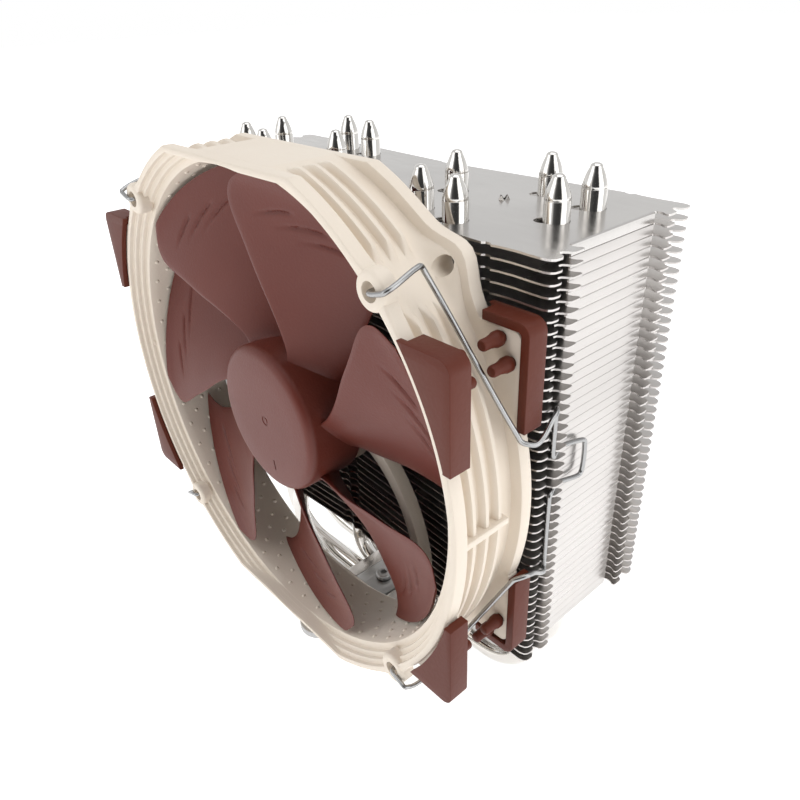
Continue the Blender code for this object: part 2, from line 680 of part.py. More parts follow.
def pad(name, material, sign_x, sign_z, rear):
    plate = build(name, material, (add_prism, (pad_outline(), "Y", -PAD_PROUD, WING_RECESS - GAP)))
    skirt = build("skirt", None, (add_prism, (skirt_outline(), "Y", -PAD_PROUD, PAD_SKIRT_DEPTH)))
    combine(plate, "UNION", skirt)
    start = WING_RECESS - GAP - 0.0005
    bulb = RIM_DEPTH + GAP + 0.0001
    end = RIM_DEPTH + PEG_LENGTH
    profile = [(0, start), (PEG_NECK_RADIUS, start), (PEG_NECK_RADIUS, bulb), (PEG_BULB_RADIUS, bulb + 0.0005),
               (PEG_BULB_RADIUS, bulb + 0.0020), (PEG_TAIL_RADIUS, bulb + 0.0032),
               (PEG_TAIL_RADIUS, end), (0, end)]
    pegs = bmesh.new()
    for x, z in PEG_PLACES:
        add_turned(pegs, profile, 6, "Y", Vector((x, 0, z)))
    combine(plate, "UNION", solid("pegs", pegs))
    for vertex in plate.data.vertices:
        x, y, z = vertex.co
        vertex.co = (x * sign_x, FAN_DEPTH - y if rear else y, z * sign_z)
    if sign_x * sign_z * (-1 if rear else 1) < 0:
        plate.data.flip_normals()
    move_to_fan(plate)
    shade_round(plate, 40)


def pads(material):
    for rear, face in ((False, "front"), (True, "rear")):
        for sign_z, level in ((1, "upper"), (-1, "lower")):
            for sign_x, side in ((1, "right"), (-1, "left")):
                pad("pad_%s_%s_%s" % (face, level, side), material, sign_x, sign_z, rear)


# ---- motor and impeller ----------------------------------------------------------------

def blade_row(section, tip_angles=None):
    radius, lead, trail, lead_depth, trail_depth = section
    if tip_angles:
        lead, trail = tip_angles
    row = []
    for step in range(CHORD_STEPS + 1):
        part = step / CHORD_STEPS
        angle = FIRST_BLADE + radians(lead + (trail - lead) * part)
        depth = lead_depth + (trail_depth - lead_depth) * (0.78 * part + 0.22 * part ** 2)
        row.append((radius, angle, depth))
    return row


def add_blade(body, turn):
    rows = [blade_row(section) for section in BLADE_SECTIONS]
    last = BLADE_SECTIONS[-1]
    rows.append(blade_row((BLADE_TIP_RADIUS,) + last[1:], BLADE_TIP_ANGLES))
    faces = []
    for shift in (-0.5, 0.5):
        grid = []
        for row in rows:
            line = []
            for i, (radius, angle, depth) in enumerate(row):
                edge = 0.35 if i in (0, CHORD_STEPS) else 1.0
                lift = shift * BLADE_THICKNESS * edge
                place = (radius * cos(angle + turn), depth + lift, radius * sin(angle + turn))
                line.append(body.verts.new(place))
            grid.append(line)
        faces.append(grid)
    front, back = faces
    count = len(rows)
    for i in range(count - 1):
        for j in range(CHORD_STEPS):
            body.faces.new((front[i][j], front[i][j + 1], front[i + 1][j + 1], front[i + 1][j]))
            body.faces.new((back[i][j], back[i + 1][j], back[i + 1][j + 1], back[i][j + 1]))
        for j in (0, CHORD_STEPS):
            body.faces.new((front[i][j], front[i + 1][j], back[i + 1][j], back[i][j]))
    for j in range(CHORD_STEPS):
        for i in (0, count - 1):
            body.faces.new((front[i][j], back[i][j], back[i][j + 1], front[i][j + 1]))


def impeller(material):
    face, rear = HUB_FACE_DEPTH, HUB_REAR_DEPTH
    edge = 0.0026
    profile = [(0, face), (HUB_RADIUS - edge, face + 0.0001), (HUB_RADIUS - edge * 0.35, face + edge * 0.35),
               (HUB_RADIUS, face + edge), (HUB_RADIUS, rear), (hub_inner_radius, rear),
               (hub_inner_radius, face + 0.0020), (0, face + 0.0020)]
    hub = build("impeller", material, (add_turned, (profile, 28, "Y")))
    blades = bmesh.new()
    for index in range(BLADES):
        add_blade(blades, 2 * pi * index / BLADES)
    combine(hub, "UNION", solid("blades", blades))
    hub.location = fan_point(0, 0, 0)
    shade_round(hub, 40)


def turned_on_shaft(name, material, profile, segments, angle=30):
    made = build(name, material, (add_turned, (profile, segments, "Y")))
    made.location = fan_point(0, 0, 0)
    shade_round(made, angle)
    return made


def rotor_parts(steel, magnet_material):
    face = HUB_FACE_DEPTH + 0.0020 + GAP
    yoke_inner = yoke_radius - YOKE_WALL
    yoke_rear = CORE_DEPTH + CORE_LENGTH + 0.0025
    turned_on_shaft("rotor_yoke", steel, [
        (SHAFT_RADIUS + GAP, face), (yoke_radius, face), (yoke_radius, yoke_rear), (yoke_inner, yoke_rear),
        (yoke_inner, face + YOKE_WALL), (SHAFT_RADIUS + GAP, face + YOKE_WALL)], 28)
    magnet_low = face + YOKE_WALL + GAP
    turned_on_shaft("magnet_ring", magnet_material, [
        (magnet_radius - MAGNET_WALL, magnet_low), (magnet_radius, magnet_low),
        (magnet_radius, yoke_rear - 0.0004), (magnet_radius - MAGNET_WALL, yoke_rear - 0.0004)], 24)
    shaft_end = MOTOR_PLATE_DEPTH + 0.0010
    turned_on_shaft("rotor_shaft", steel, [
        (0, face), (SHAFT_RADIUS, face), (SHAFT_RADIUS, shaft_end - 0.0005),
        (SHAFT_RADIUS - 0.0005, shaft_end), (0, shaft_end)], 12)
    clip_low = CORE_DEPTH + CORE_LENGTH + 0.0035
    turned_on_shaft("shaft_clip", steel, [
        (SHAFT_RADIUS + GAP, clip_low), (SHAFT_RADIUS + 0.0013, clip_low),
        (SHAFT_RADIUS + 0.0013, clip_low + 0.0006), (SHAFT_RADIUS + GAP, clip_low + 0.0006)], 12)


def stator_parts(steel, copper, board_green, brass):
    low, high = CORE_DEPTH, CORE_DEPTH + CORE_LENGTH
    bore = (TUBE_RADIUS + GAP) / cos(pi / 12)
    ring_outer = bore + 0.0022
    core = build("stator_core", steel, (add_turned, (
        [(bore, low), (ring_outer, low), (ring_outer, high), (bore, high)], 12, "Y")))
    tooth = 0.0016
    for index in range(TEETH):
        turn = 2 * pi * index / TEETH + pi / 4
        span = radians(34)
        shoe = arc((0, 0), core_radius, turn - span, turn + span, 6)
        inner_shoe = arc((0, 0), core_radius - 0.0016, turn + span, turn - span, 6)
        combine(core, "UNION", build("shoe", None, (add_prism, (shoe + inner_shoe, "Y", low, high))))
        across = Vector((-sin(turn), cos(turn), 0))
        along = Vector((cos(turn), sin(turn), 0))
        inner, outer = ring_outer - 0.001, core_radius - 0.0008
        corners = [along * a + across * b
                   for a, b in ((inner, -tooth), (outer, -tooth), (outer, tooth), (inner, tooth))]
        stem = [(corner.x, corner.y) for corner in corners]
        combine(core, "UNION", build("stem", None, (add_prism, (stem, "Y", low + 0.0001, high - 0.0001))))
    core.location = fan_point(0, 0, 0)
    for index in range(TEETH):
        turn = 2 * pi * index / TEETH + pi / 4
        across = Vector((-sin(turn), 0, cos(turn)))
        along = Vector((cos(turn), 0, sin(turn)))
        start, end = ring_outer + 2 * GAP, core_radius - 0.0016 - 4 * GAP
        inside = (tooth + GAP, (high - low) / 2 + GAP)
        outside = (inside[0] + 0.0017, inside[1] + 0.0012)
        middle = (low + high) / 2
        body = bmesh.new()
        loops = []
        for place in (start, end):
            for wide, deep in (inside, outside):
                corners = [along * place + across * (wide * a) + Vector((0, middle + deep * b, 0))
                           for a, b in ((-1, -1), (1, -1), (1, 1), (-1, 1))]
                loops.append([body.verts.new(corner) for corner in corners])
        for one, other in ((0, 1), (1, 3), (3, 2), (2, 0)):
            for i in range(4):
                j = (i + 1) % 4
                body.faces.new((loops[one][i], loops[one][j], loops[other][j], loops[other][i]))
        coil = solid("stator_coil_%d" % (index + 1), body, copper)
        coil.location = fan_point(0, 0, 0)
    board_low = high + 0.0030
    turned_on_shaft("circuit_board", board_green, [
        (bore, board_low), (core_radius, board_low),
        (core_radius, board_low + 0.0010), (bore, board_low + 0.0010)], 20)
    sleeve_outer = SHAFT_RADIUS + 0.0019 - 2 * GAP
    sleeve_rear = CORE_DEPTH + CORE_LENGTH + 0.0030
    turned_on_shaft("bearing_sleeve", brass, [
        (SHAFT_RADIUS + GAP, CORE_DEPTH - 0.0010), (sleeve_outer, CORE_DEPTH - 0.0010),
        (sleeve_outer, sleeve_rear), (SHAFT_RADIUS + GAP, sleeve_rear)], 12)


# ---- wire clips ------------------------------------------------------------------------

def clip_path():
    # upper half of the right-hand clip, round the fan's middle, from the hole to the groove
    hole = HOLE_PITCH / 2
    outside_ear = hole + FRONT_EAR_RADIUS + WIRE_RADIUS + 2 * GAP
    proud = -WIRE_RADIUS - GAP
    groove_x = FIN_HALF_WIDTH - GAP
    groove_depth = -fan_front_y - GROOVE_Y
    bend_x = pad_outer_x - 0.0005
    in_front_of_flange = FAN_DEPTH - RIM_DEPTH - WIRE_RADIUS - 2 * GAP
    return [Vector((hole, CLIP_PIN, hole)), Vector((hole, 0.0006, hole)),
            Vector((hole + 0.0005, proud + 0.0003, hole)), Vector((hole + 0.0022, proud, hole + 0.0003)),
            Vector((outside_ear, proud + 0.0002, hole + 0.0016)),
            Vector((outside_ear - 0.0002, 0.0078, hole + 0.0042)),
            Vector((outside_ear - 0.0005, 0.0092, hole + 0.0034)),
            Vector((bend_x, in_front_of_flange, CLIP_BEND_Z + 0.0010)),
            Vector((bend_x + 0.0013, in_front_of_flange + 0.0013, CLIP_BEND_Z)),
            Vector((bend_x + 0.0022, FAN_DEPTH - 0.0020, CLIP_BEND_Z - 0.0003)),
            Vector((bend_x + 0.0020, FAN_DEPTH + 0.0006, CLIP_BEND_Z + 0.0007)),
            Vector((bend_x + 0.0016, groove_depth - 0.0038, HOOK_Z - 0.0010)),
            Vector((groove_x + 0.0015, groove_depth - GROOVE_RADIUS + 0.0001, HOOK_Z - 0.0001)),
            Vector((groove_x + 0.0003, groove_depth - 0.0003, HOOK_Z)),
            Vector((groove_x, groove_depth, HOOK_Z - 0.0012))]


def finger_loop():
    # the wire leaves the groove between two fins, turns back along the side wall and returns
    groove_x = FIN_HALF_WIDTH - GAP
    groove_depth = -fan_front_y - GROOVE_Y
    near_x = SIDE_WALL_X + WIRE_RADIUS + 2 * GAP
    far_x = SIDE_WALL_X + LOOP_STANDOFF
    corner = 0.0012
    half = []
    for end_z, sign in ((loop_top_z, 1), (loop_low_z, -1)):
        far_z = end_z - LOOP_DROP
        leg = [(groove_x, 0.0, end_z + sign * 0.0008), (groove_x - 0.0002, 0.0008, end_z),
               (near_x + 0.0008, 0.0030, end_z), (near_x, 0.0052, end_z - LOOP_DROP * 0.1),
               (far_x, LOOP_REACH - corner, far_z), (far_x, LOOP_REACH, far_z - sign * corner)]
        points = [Vector((x, groove_depth + along, z)) for x, along, z in leg]
        half += points if sign > 0 else reversed(points)
    return half


def wire_clips(material):
    upper = clip_path()
    lower = [Vector((point.x, point.y, -point.z)) for point in reversed(upper)]
    pivot_x = HOLE_PITCH / 2
    for side, name in ((1, "right"), (-1, "left")):
        path = [Vector((side * (point.x - pivot_x), point.y, point.z))
                for point in upper + finger_loop() + lower]
        body = bmesh.new()
        add_tube(body, path, [WIRE_RADIUS] * len(path), 6)
        clip = solid("wire_clip_" + name, body, material)
        clip.location = fan_point(side * pivot_x, 0, 0)
        shade_round(clip, 60)


def main():
    remove_everything()
    nickel = finish("nickel_plate", (0.62, 0.60, 0.58), 0.32, 1.0)
    polished = finish("polished_nickel", (0.78, 0.76, 0.74), 0.10, 1.0)
    steel = finish("steel", (0.45, 0.45, 0.46), 0.35, 1.0)
    spring_steel = finish("spring_steel", (0.50, 0.50, 0.52), 0.25, 1.0)
    cream = finish("cream_plastic", (0.74, 0.66, 0.55), 0.45, 0.0)
    brown = finish("brown_plastic", (0.22, 0.075, 0.055), 0.40, 0.0)
    rubber = finish("brown_rubber", (0.13, 0.035, 0.022), 0.60, 0.0)
    black = finish("black_rubber", (0.015, 0.015, 0.015), 0.60, 0.0)
    copper = finish("copper_wire", (0.60, 0.25, 0.12), 0.35, 1.0)
    brass = finish("brass", (0.65, 0.50, 0.22), 0.35, 1.0)
    magnet = finish("magnet", (0.06, 0.06, 0.065), 0.50, 0.0)
    board = finish("board", (0.05, 0.22, 0.08), 0.45, 0.0)
    base_plate(polished)
    pipe_clamp(nickel)
    mounting_bar(steel)
    bar_bolts(steel)
    sprung_screws(steel, spring_steel)
    heat_pipes(polished)
    fin_stack(nickel)
    top_fin(nickel)
    fan_frame(cream)
    cable_boot(black)
    pads(rubber)
    impeller(brown)
    rotor_parts(steel, magnet)
    stator_parts(steel, copper, board, brass)
    wire_clips(spring_steel)


main()
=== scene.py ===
from math import asin, atan2, cos, exp, pi, radians, sin, sqrt

import bmesh
import bpy
from mathutils import Matrix, Vector


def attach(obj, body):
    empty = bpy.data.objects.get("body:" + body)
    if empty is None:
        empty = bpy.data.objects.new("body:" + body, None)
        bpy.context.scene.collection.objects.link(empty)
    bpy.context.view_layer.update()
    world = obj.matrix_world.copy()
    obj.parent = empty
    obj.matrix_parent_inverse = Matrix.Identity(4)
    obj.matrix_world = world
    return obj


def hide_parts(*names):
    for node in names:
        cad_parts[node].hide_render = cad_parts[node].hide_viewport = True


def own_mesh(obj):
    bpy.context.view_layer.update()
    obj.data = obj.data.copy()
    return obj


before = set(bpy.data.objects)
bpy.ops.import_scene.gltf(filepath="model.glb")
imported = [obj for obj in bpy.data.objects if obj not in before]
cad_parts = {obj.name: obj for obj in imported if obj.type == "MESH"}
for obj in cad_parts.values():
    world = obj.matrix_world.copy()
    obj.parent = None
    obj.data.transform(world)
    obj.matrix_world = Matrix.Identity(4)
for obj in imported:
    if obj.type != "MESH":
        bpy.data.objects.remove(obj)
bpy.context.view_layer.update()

# Pieces are shaped in millimetres and scaled to metres when they are placed.
# Fan pieces are shaped round the fan's own middle, with depth along +Y from its front face.
millimetre = 0.001
fanPlace = Vector((0, -52.5, 98))
bodyOfStack = "cooler"


# shader and geometry nodes

class Field:
    # a node's output that takes part in sums written as Python
    def __init__(self, graph, socket):
        self.graph = graph
        self.socket = socket

    def calc(self, operation, first, second):
        node = self.graph.add("ShaderNodeMath", {"operation": operation}, {0: first, 1: second})
        return Field(self.graph, node.outputs[0])

    def __add__(self, other):
        return self.calc("ADD", self, other)

    def __radd__(self, other):
        return self.calc("ADD", other, self)

    def __sub__(self, other):
        return self.calc("SUBTRACT", self, other)

    def __rsub__(self, other):
        return self.calc("SUBTRACT", other, self)

    def __mul__(self, other):
        return self.calc("MULTIPLY", self, other)

    def __rmul__(self, other):
        return self.calc("MULTIPLY", other, self)


class Graph:
    def __init__(self, tree):
        self.tree = tree

    def add(self, kind, settings=None, inputs=None):
        node = self.tree.nodes.new(kind)
        for name, value in (settings or {}).items():
            if name == "stops":
                for place, stop in enumerate(value):
                    ramp = node.color_ramp.elements
                    element = ramp[place] if place < 2 else ramp.new(stop[0])
                    element.position, element.color = stop[0], (*stop[1], 1)
            else:
                setattr(node, name, value)
        for name, value in (inputs or {}).items():
            self.feed(node.inputs[name], value)
        return node

    def feed(self, socket, value):
        if isinstance(value, Field):
            self.tree.links.new(value.socket, socket)
        elif isinstance(value, bpy.types.NodeSocket):
            self.tree.links.new(value, socket)
        else:
            socket.default_value = value


class Finish(Graph):
    # a material with its Principled shader and the textures that it is mixed from
    def __init__(self, name, colour, **constants):
        self.material = bpy.data.materials.new(name)
        self.material.use_nodes = True
        super().__init__(self.material.node_tree)
        self.shader = self.tree.nodes["Principled BSDF"]
        self.set("Base Color", (*colour, 1))
        for label, value in constants.items():
            self.set(label, value)
        self.material.diffuse_color = (*colour, 1)
        self.coordinates = self.add("ShaderNodeTexCoord").outputs["Object"]

    def set(self, label, value):
        self.feed(self.shader.inputs[label.replace("_", " ")], value)

    def stretched(self, scale):
        return self.add("ShaderNodeMapping", None, {"Vector": self.coordinates, "Scale": scale}).outputs[0]

    def noise(self, scale, detail=2.0, stretch=None):
        where = self.stretched(stretch) if stretch else self.coordinates
        node = self.add("ShaderNodeTexNoise", None, {"Vector": where, "Scale": scale, "Detail": detail})
        return Field(self, node.outputs["Fac"])

    def cells(self, scale, feature="F1"):
        node = self.add("ShaderNodeTexVoronoi", {"feature": feature}, {"Vector": self.coordinates, "Scale": scale})
        return Field(self, node.outputs["Distance"])

    def ramp(self, value, low, high):
        node = self.add("ShaderNodeMapRange", {"clamp": True}, {0: value, 1: low, 2: high, 3: 0.0, 4: 1.0})
        return Field(self, node.outputs[0])

    def blend(self, share, first, second):
        def colour(value):
            return (*value, 1) if isinstance(value, tuple) else value
        node = self.add("ShaderNodeMix", {"data_type": "RGBA"}, {0: share, 6: colour(first), 7: colour(second)})
        return node.outputs[2]

    def bump(self, height, distance, strength=1.0):
        node = self.add("ShaderNodeBump", None, {"Height": height, "Distance": distance, "Strength": strength})
        self.set("Normal", node.outputs[0])


def nickelFinish(name, tone, rough, grain, stretch):
    finish = Finish(name, tone, Metallic=1.0)
    brushed = finish.noise(60, 3, stretch)
    cloudy = finish.noise(22, 2)
    darker = tuple(0.86 * part for part in tone)
    finish.set("Base Color", finish.blend(finish.ramp(cloudy, 0.35, 0.7), tone, darker))
    finish.set("Roughness", rough + (brushed - 0.5) * 0.14 + (cloudy - 0.5) * 0.10)
    finish.bump(brushed, grain, 0.5)
    return finish.material


def polishedFinish(name, tone, rough):
    finish = Finish(name, tone, Metallic=1.0)
    smear = finish.noise(140, 3)
    fine = finish.noise(900, 2, (1, 1, 0.12))
    finish.set("Roughness", rough + (smear - 0.5) * 0.06)
    finish.set("Base Color", finish.blend(smear, tone, tuple(0.9 * part for part in tone)))
    finish.bump(fine, 0.00001, 0.4)
    return finish.material


def plasticFinish(name, tone, shade, rough, grainScale, grainDepth, **constants):
    finish = Finish(name, tone, **constants)
    flow = finish.noise(35, 3)
    speckle = finish.noise(grainScale, 2)
    pits = finish.cells(grainScale * 0.8)
    finish.set("Base Color", finish.blend(finish.ramp(flow, 0.3, 0.75) * 0.7 + speckle * 0.3, tone, shade))
    finish.set("Roughness", rough + (flow - 0.5) * 0.12 + (speckle - 0.5) * 0.08)
    finish.bump(speckle * 0.6 + pits * 0.4, grainDepth, 0.8)
    return finish.material


def boardFinish(name):
    finish = Finish(name, (0.03, 0.16, 0.06), Roughness=0.4)
    tracks = finish.ramp(finish.cells(700, "DISTANCE_TO_EDGE"), 0.03, 0.07)
    finish.set("Base Color", finish.blend(tracks, (0.05, 0.28, 0.09), (0.02, 0.13, 0.05)))
    finish.bump(tracks, 0.00003, 0.5)
    return finish.material


def windingFinish(name):
    finish = Finish(name, (0.62, 0.25, 0.11), Metallic=1.0, Roughness=0.35)
    wave = finish.add("ShaderNodeTexWave", {"bands_direction": "Y"},
                      {"Vector": finish.coordinates, "Scale": 900, "Distortion": 0.4, "Detail": 1})
    turns = Field(finish, wave.outputs["Fac"])
    finish.set("Base Color", finish.blend(turns, (0.35, 0.12, 0.05), (0.70, 0.30, 0.14)))
    finish.bump(turns, 0.0001, 0.8)
    return finish.material


finNickel = nickelFinish("finNickel", (0.60, 0.575, 0.555), 0.30, 0.00002, (0.3, 0.3, 12))
plateNickel = nickelFinish("plateNickel", (0.62, 0.60, 0.58), 0.22, 0.00001, (2, 8, 1))
pipeNickel = polishedFinish("pipeNickel", (0.74, 0.72, 0.69), 0.10)
baseNickel = polishedFinish("baseNickel", (0.72, 0.70, 0.68), 0.16)
screwSteel = nickelFinish("screwSteel", (0.46, 0.46, 0.46), 0.32, 0.00002, (4, 4, 4))
wireSteel = polishedFinish("wireSteel", (0.38, 0.38, 0.38), 0.24)
creamPlastic = plasticFinish("creamPlastic", (0.79, 0.71, 0.61), (0.75, 0.66, 0.555), 0.46, 1400, 0.00003,
                             Specular_IOR_Level=0.35)
brownPlastic = plasticFinish("brownPlastic", (0.135, 0.027, 0.017), (0.112, 0.021, 0.013), 0.44, 1900, 0.00007,
                             Specular_IOR_Level=0.32)
brownRubber = plasticFinish("brownRubber", (0.112, 0.021, 0.009), (0.090, 0.017, 0.008), 0.50, 1100, 0.00005,
                            Specular_IOR_Level=0.25)
blackRubber = plasticFinish("blackRubber", (0.012, 0.012, 0.012), (0.02, 0.02, 0.02), 0.55, 1500, 0.00005)
brassMetal = polishedFinish("brassMetal", (0.62, 0.47, 0.20), 0.3)
magnetFinish = plasticFinish("magnetFinish", (0.05, 0.05, 0.055), (0.035, 0.035, 0.04), 0.5, 2500, 0.00004)
greenBoard = boardFinish("greenBoard")
copperWinding = windingFinish("copperWinding")
print("finishes made")


# shaping

def arc(centre, radius, start, end, steps):
    return [(centre[0] + radius * cos(start + (end - start) * i / steps),
             centre[1] + radius * sin(start + (end - start) * i / steps)) for i in range(steps + 1)]


def placedOn(axis, first, second, along):
    if axis == "Y":
        return Vector((first, along, second))
    if axis == "Z":
        return Vector((first, second, along))
    return Vector((along, first, second))


def addPrism(body, outline, axis, low, high):
    lower = [body.verts.new(placedOn(axis, a, b, low)) for a, b in outline]
    upper = [body.verts.new(placedOn(axis, a, b, high)) for a, b in outline]
    body.faces.new(lower)
    body.faces.new(list(reversed(upper)))
    for i in range(len(outline)):
        j = (i + 1) % len(outline)
        body.faces.new((lower[i], upper[i], upper[j], lower[j]))


def addBox(body, low, high):
    outline = ((low[0], low[1]), (high[0], low[1]), (high[0], high[1]), (low[0], high[1]))
    addPrism(body, outline, "Z", low[2], high[2])


def addTurned(body, profile, segments, axis, centre=(0, 0)):
    # profile: closed loop of (radius, along); a point at radius 0 is a pole
    rings = []
    for radius, along in profile:
        count = 1 if radius < 1e-6 else segments
        turns = [2 * pi * i / segments for i in range(count)]
        rings.append([body.verts.new(placedOn(axis, centre[0] + radius * cos(t), centre[1] + radius * sin(t), along))
                      for t in turns])
    for here, there in zip(rings, rings[1:] + rings[:1]):
        if len(here) == 1 and len(there) == 1:
            continue
        for i in range(segments):
            j = (i + 1) % segments
            corners = [here[i % len(here)], here[j % len(here)], there[j % len(there)], there[i % len(there)]]
            body.faces.new(list(dict.fromkeys(corners)))


def addTube(body, path, radii, sides, start=Vector((0, 0, 1))):
    rings = []
    side = None
    for i, point in enumerate(path):
        ahead = (path[min(i + 1, len(path) - 1)] - path[max(i - 1, 0)]).normalized()
        if side is None:
            side = ahead.cross(start)
        side = (side - ahead * side.dot(ahead)).normalized()
        up = ahead.cross(side)
        turns = [2 * pi * k / sides for k in range(sides)]
        rings.append([body.verts.new(point + radii[i] * (side * cos(t) + up * sin(t))) for t in turns])
    for here, there in zip(rings, rings[1:]):
        for k in range(sides):
            m = (k + 1) % sides
            body.faces.new((here[k], here[m], there[m], there[k]))
    body.faces.new(list(reversed(rings[0])))
    body.faces.new(rings[-1])


def smoothPath(points, steps):
    # a curve through every point, with shorter handles where points lie close
    padded = [points[0] * 2 - points[1]] + list(points) + [points[-1] * 2 - points[-2]]
    path = []
    for i in range(1, len(padded) - 2):
        before, here, there, after = padded[i - 1:i + 3]
        span = (there - here).length
        leave = (there - before).normalized() * span
        arrive = (after - here).normalized() * span
        for step in range(steps):
            t = step / steps
            path.append(here * (2 * t ** 3 - 3 * t ** 2 + 1) + leave * (t ** 3 - 2 * t ** 2 + t)
                        + there * (3 * t ** 2 - 2 * t ** 3) + arrive * (t ** 3 - t ** 2))
    return path + [points[-1]]


def shape(name, body):
    bmesh.ops.remove_doubles(body, verts=body.verts, dist=1e-5)
    bmesh.ops.recalc_face_normals(body, faces=body.faces)
    mesh = bpy.data.meshes.new(name)
    body.to_mesh(mesh)
    body.free()
    made = bpy.data.objects.new(name, mesh)
    bpy.context.scene.collection.objects.link(made)
    return made


def shaped(name, *steps):
    body = bmesh.new()
    for add, arguments in steps:
        add(body, *arguments)
    return shape(name, body)


def settle(made):
    # the evaluated mesh takes the place of the modifiers
    graph = bpy.context.evaluated_depsgraph_get()
    mesh = bpy.data.meshes.new_from_object(made.evaluated_get(graph))
    made.modifiers.clear()
    made.data = mesh
    return made


def combine(target, operation, *others):
    for other in others:
        modifier = target.modifiers.new("shape", "BOOLEAN")
        modifier.operation = operation
        modifier.solver = "EXACT"
        modifier.object = other
        settle(target)
        bpy.data.objects.remove(other, do_unlink=True)
    return target


def bevel(made, width, segments=2, angle=35):
    modifier = made.modifiers.new("edges", "BEVEL")
    modifier.width = width
    modifier.segments = segments
    modifier.limit_method = "ANGLE"
    modifier.angle_limit = radians(angle)
    modifier.use_clamp_overlap = True
    return settle(made)


def join(target, *others):
    body = bmesh.new()
    for part in (target, *others):
        body.from_mesh(part.data)
    body.to_mesh(target.data)
    body.free()
    for other in others:
        bpy.data.objects.remove(other, do_unlink=True)
    return target


def place(made, body, slot, material, nodes=(), angle=35, at=Vector()):
    made.data.transform(Matrix.Scale(millimetre, 4) @ Matrix.Translation(at))
    made.data.materials.clear()
    made.data.materials.append(material)
    made.data.shade_smooth()
    made.data.set_sharp_from_angle(angle=radians(angle))
    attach(made, body)
    if nodes:
        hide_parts(*nodes)
    return made


class Repeat(Graph):
    # a geometry node tree that copies the piece it is put on
    def __init__(self, name, inputs):
        super().__init__(bpy.data.node_groups.new(name, "GeometryNodeTree"))
        face = self.tree.interface
        face.new_socket("Geometry", in_out="INPUT", socket_type="NodeSocketGeometry")
        for label, kind in inputs.items():
            face.new_socket(label, in_out="INPUT", socket_type="NodeSocket" + kind)
        face.new_socket("Geometry", in_out="OUTPUT", socket_type="NodeSocketGeometry")
        self.given = self.add("NodeGroupInput").outputs

    def end(self, instances):
        real = self.add("GeometryNodeRealizeInstances", None, {0: instances}).outputs[0]
        named = self.add("GeometryNodeSetMaterial", None, {"Geometry": real, "Material": self.given["Material"]})
        self.add("NodeGroupOutput", None, {0: named.outputs[0]})
        return self

    def run(self, made, values):
        modifier = made.modifiers.new("repeat", "NODES")
        modifier.node_group = self.tree
        for item in self.tree.interface.items_tree:
            if item.in_out == "INPUT" and item.name in values:
                modifier[item.identifier] = values[item.name]
        return settle(made)


def stackTree():
    tree = Repeat("stackUp", {"Count": "Int", "First": "Float", "Pitch": "Float", "Material": "Material"})
    start = tree.add("ShaderNodeCombineXYZ", None, {2: tree.given["First"]}).outputs[0]
    step = tree.add("ShaderNodeCombineXYZ", None, {2: tree.given["Pitch"]}).outputs[0]
    line = tree.add("GeometryNodeMeshLine", {"mode": "OFFSET"},
                    {"Count": tree.given["Count"], "Start Location": start, "Offset": step})
    copies = tree.add("GeometryNodeInstanceOnPoints", None,
                      {"Points": line.outputs[0], "Instance": tree.given["Geometry"]})
    return tree.end(copies.outputs[0])


def wheelTree():
    tree = Repeat("turnRound", {"Count": "Int", "Material": "Material"})
    line = tree.add("GeometryNodeMeshLine", {"mode": "OFFSET"}, {"Count": tree.given["Count"], "Offset": (0, 0, 0)})
    index = Field(tree, tree.add("GeometryNodeInputIndex").outputs[0])
    share = index.calc("DIVIDE", index, tree.given["Count"]) * (-2 * pi)
    turn = tree.add("ShaderNodeCombineXYZ", None, {1: share}).outputs[0]
    copies = tree.add("GeometryNodeInstanceOnPoints", None,
                      {"Points": line.outputs[0], "Instance": tree.given["Geometry"], "Rotation": turn})
    return tree.end(copies.outputs[0])


def studTree():
    # rows of small studs round the inside of a tube, every other row half a step on
    tree = Repeat("studRows", {"Rows": "Int", "Row Pitch": "Float", "First Depth": "Float", "Per Row": "Int",
                               "Tube Radius": "Float", "Material": "Material"})
    start = tree.add("ShaderNodeCombineXYZ", None, {1: tree.given["First Depth"]}).outputs[0]
    step = tree.add("ShaderNodeCombineXYZ", None, {1: tree.given["Row Pitch"]}).outputs[0]
    rows = tree.add("GeometryNodeMeshLine", {"mode": "OFFSET"},
                    {"Count": tree.given["Rows"], "Start Location": start, "Offset": step})
    index = Field(tree, tree.add("GeometryNodeInputIndex").outputs[0])
    ring = tree.add("GeometryNodeMeshCircle", None,
                    {"Vertices": tree.given["Per Row"], "Radius": tree.given["Tube Radius"]})
    upright = tree.add("GeometryNodeTransform", None, {"Geometry": ring.outputs[0], "Rotation": (pi / 2, 0, 0)})
    half = index.calc("MODULO", index, 2.0) * pi
    shift = tree.add("ShaderNodeCombineXYZ", None,
                     {1: half.calc("DIVIDE", half, tree.given["Per Row"])}).outputs[0]
    rings = tree.add("GeometryNodeInstanceOnPoints", None,
                     {"Points": rows.outputs[0], "Instance": upright.outputs[0], "Rotation": shift})
    points = tree.add("GeometryNodeRealizeInstances", None, {0: rings.outputs[0]}).outputs[0]
    studs = tree.add("GeometryNodeInstanceOnPoints", None, {"Points": points, "Instance": tree.given["Geometry"]})
    return tree.end(studs.outputs[0])


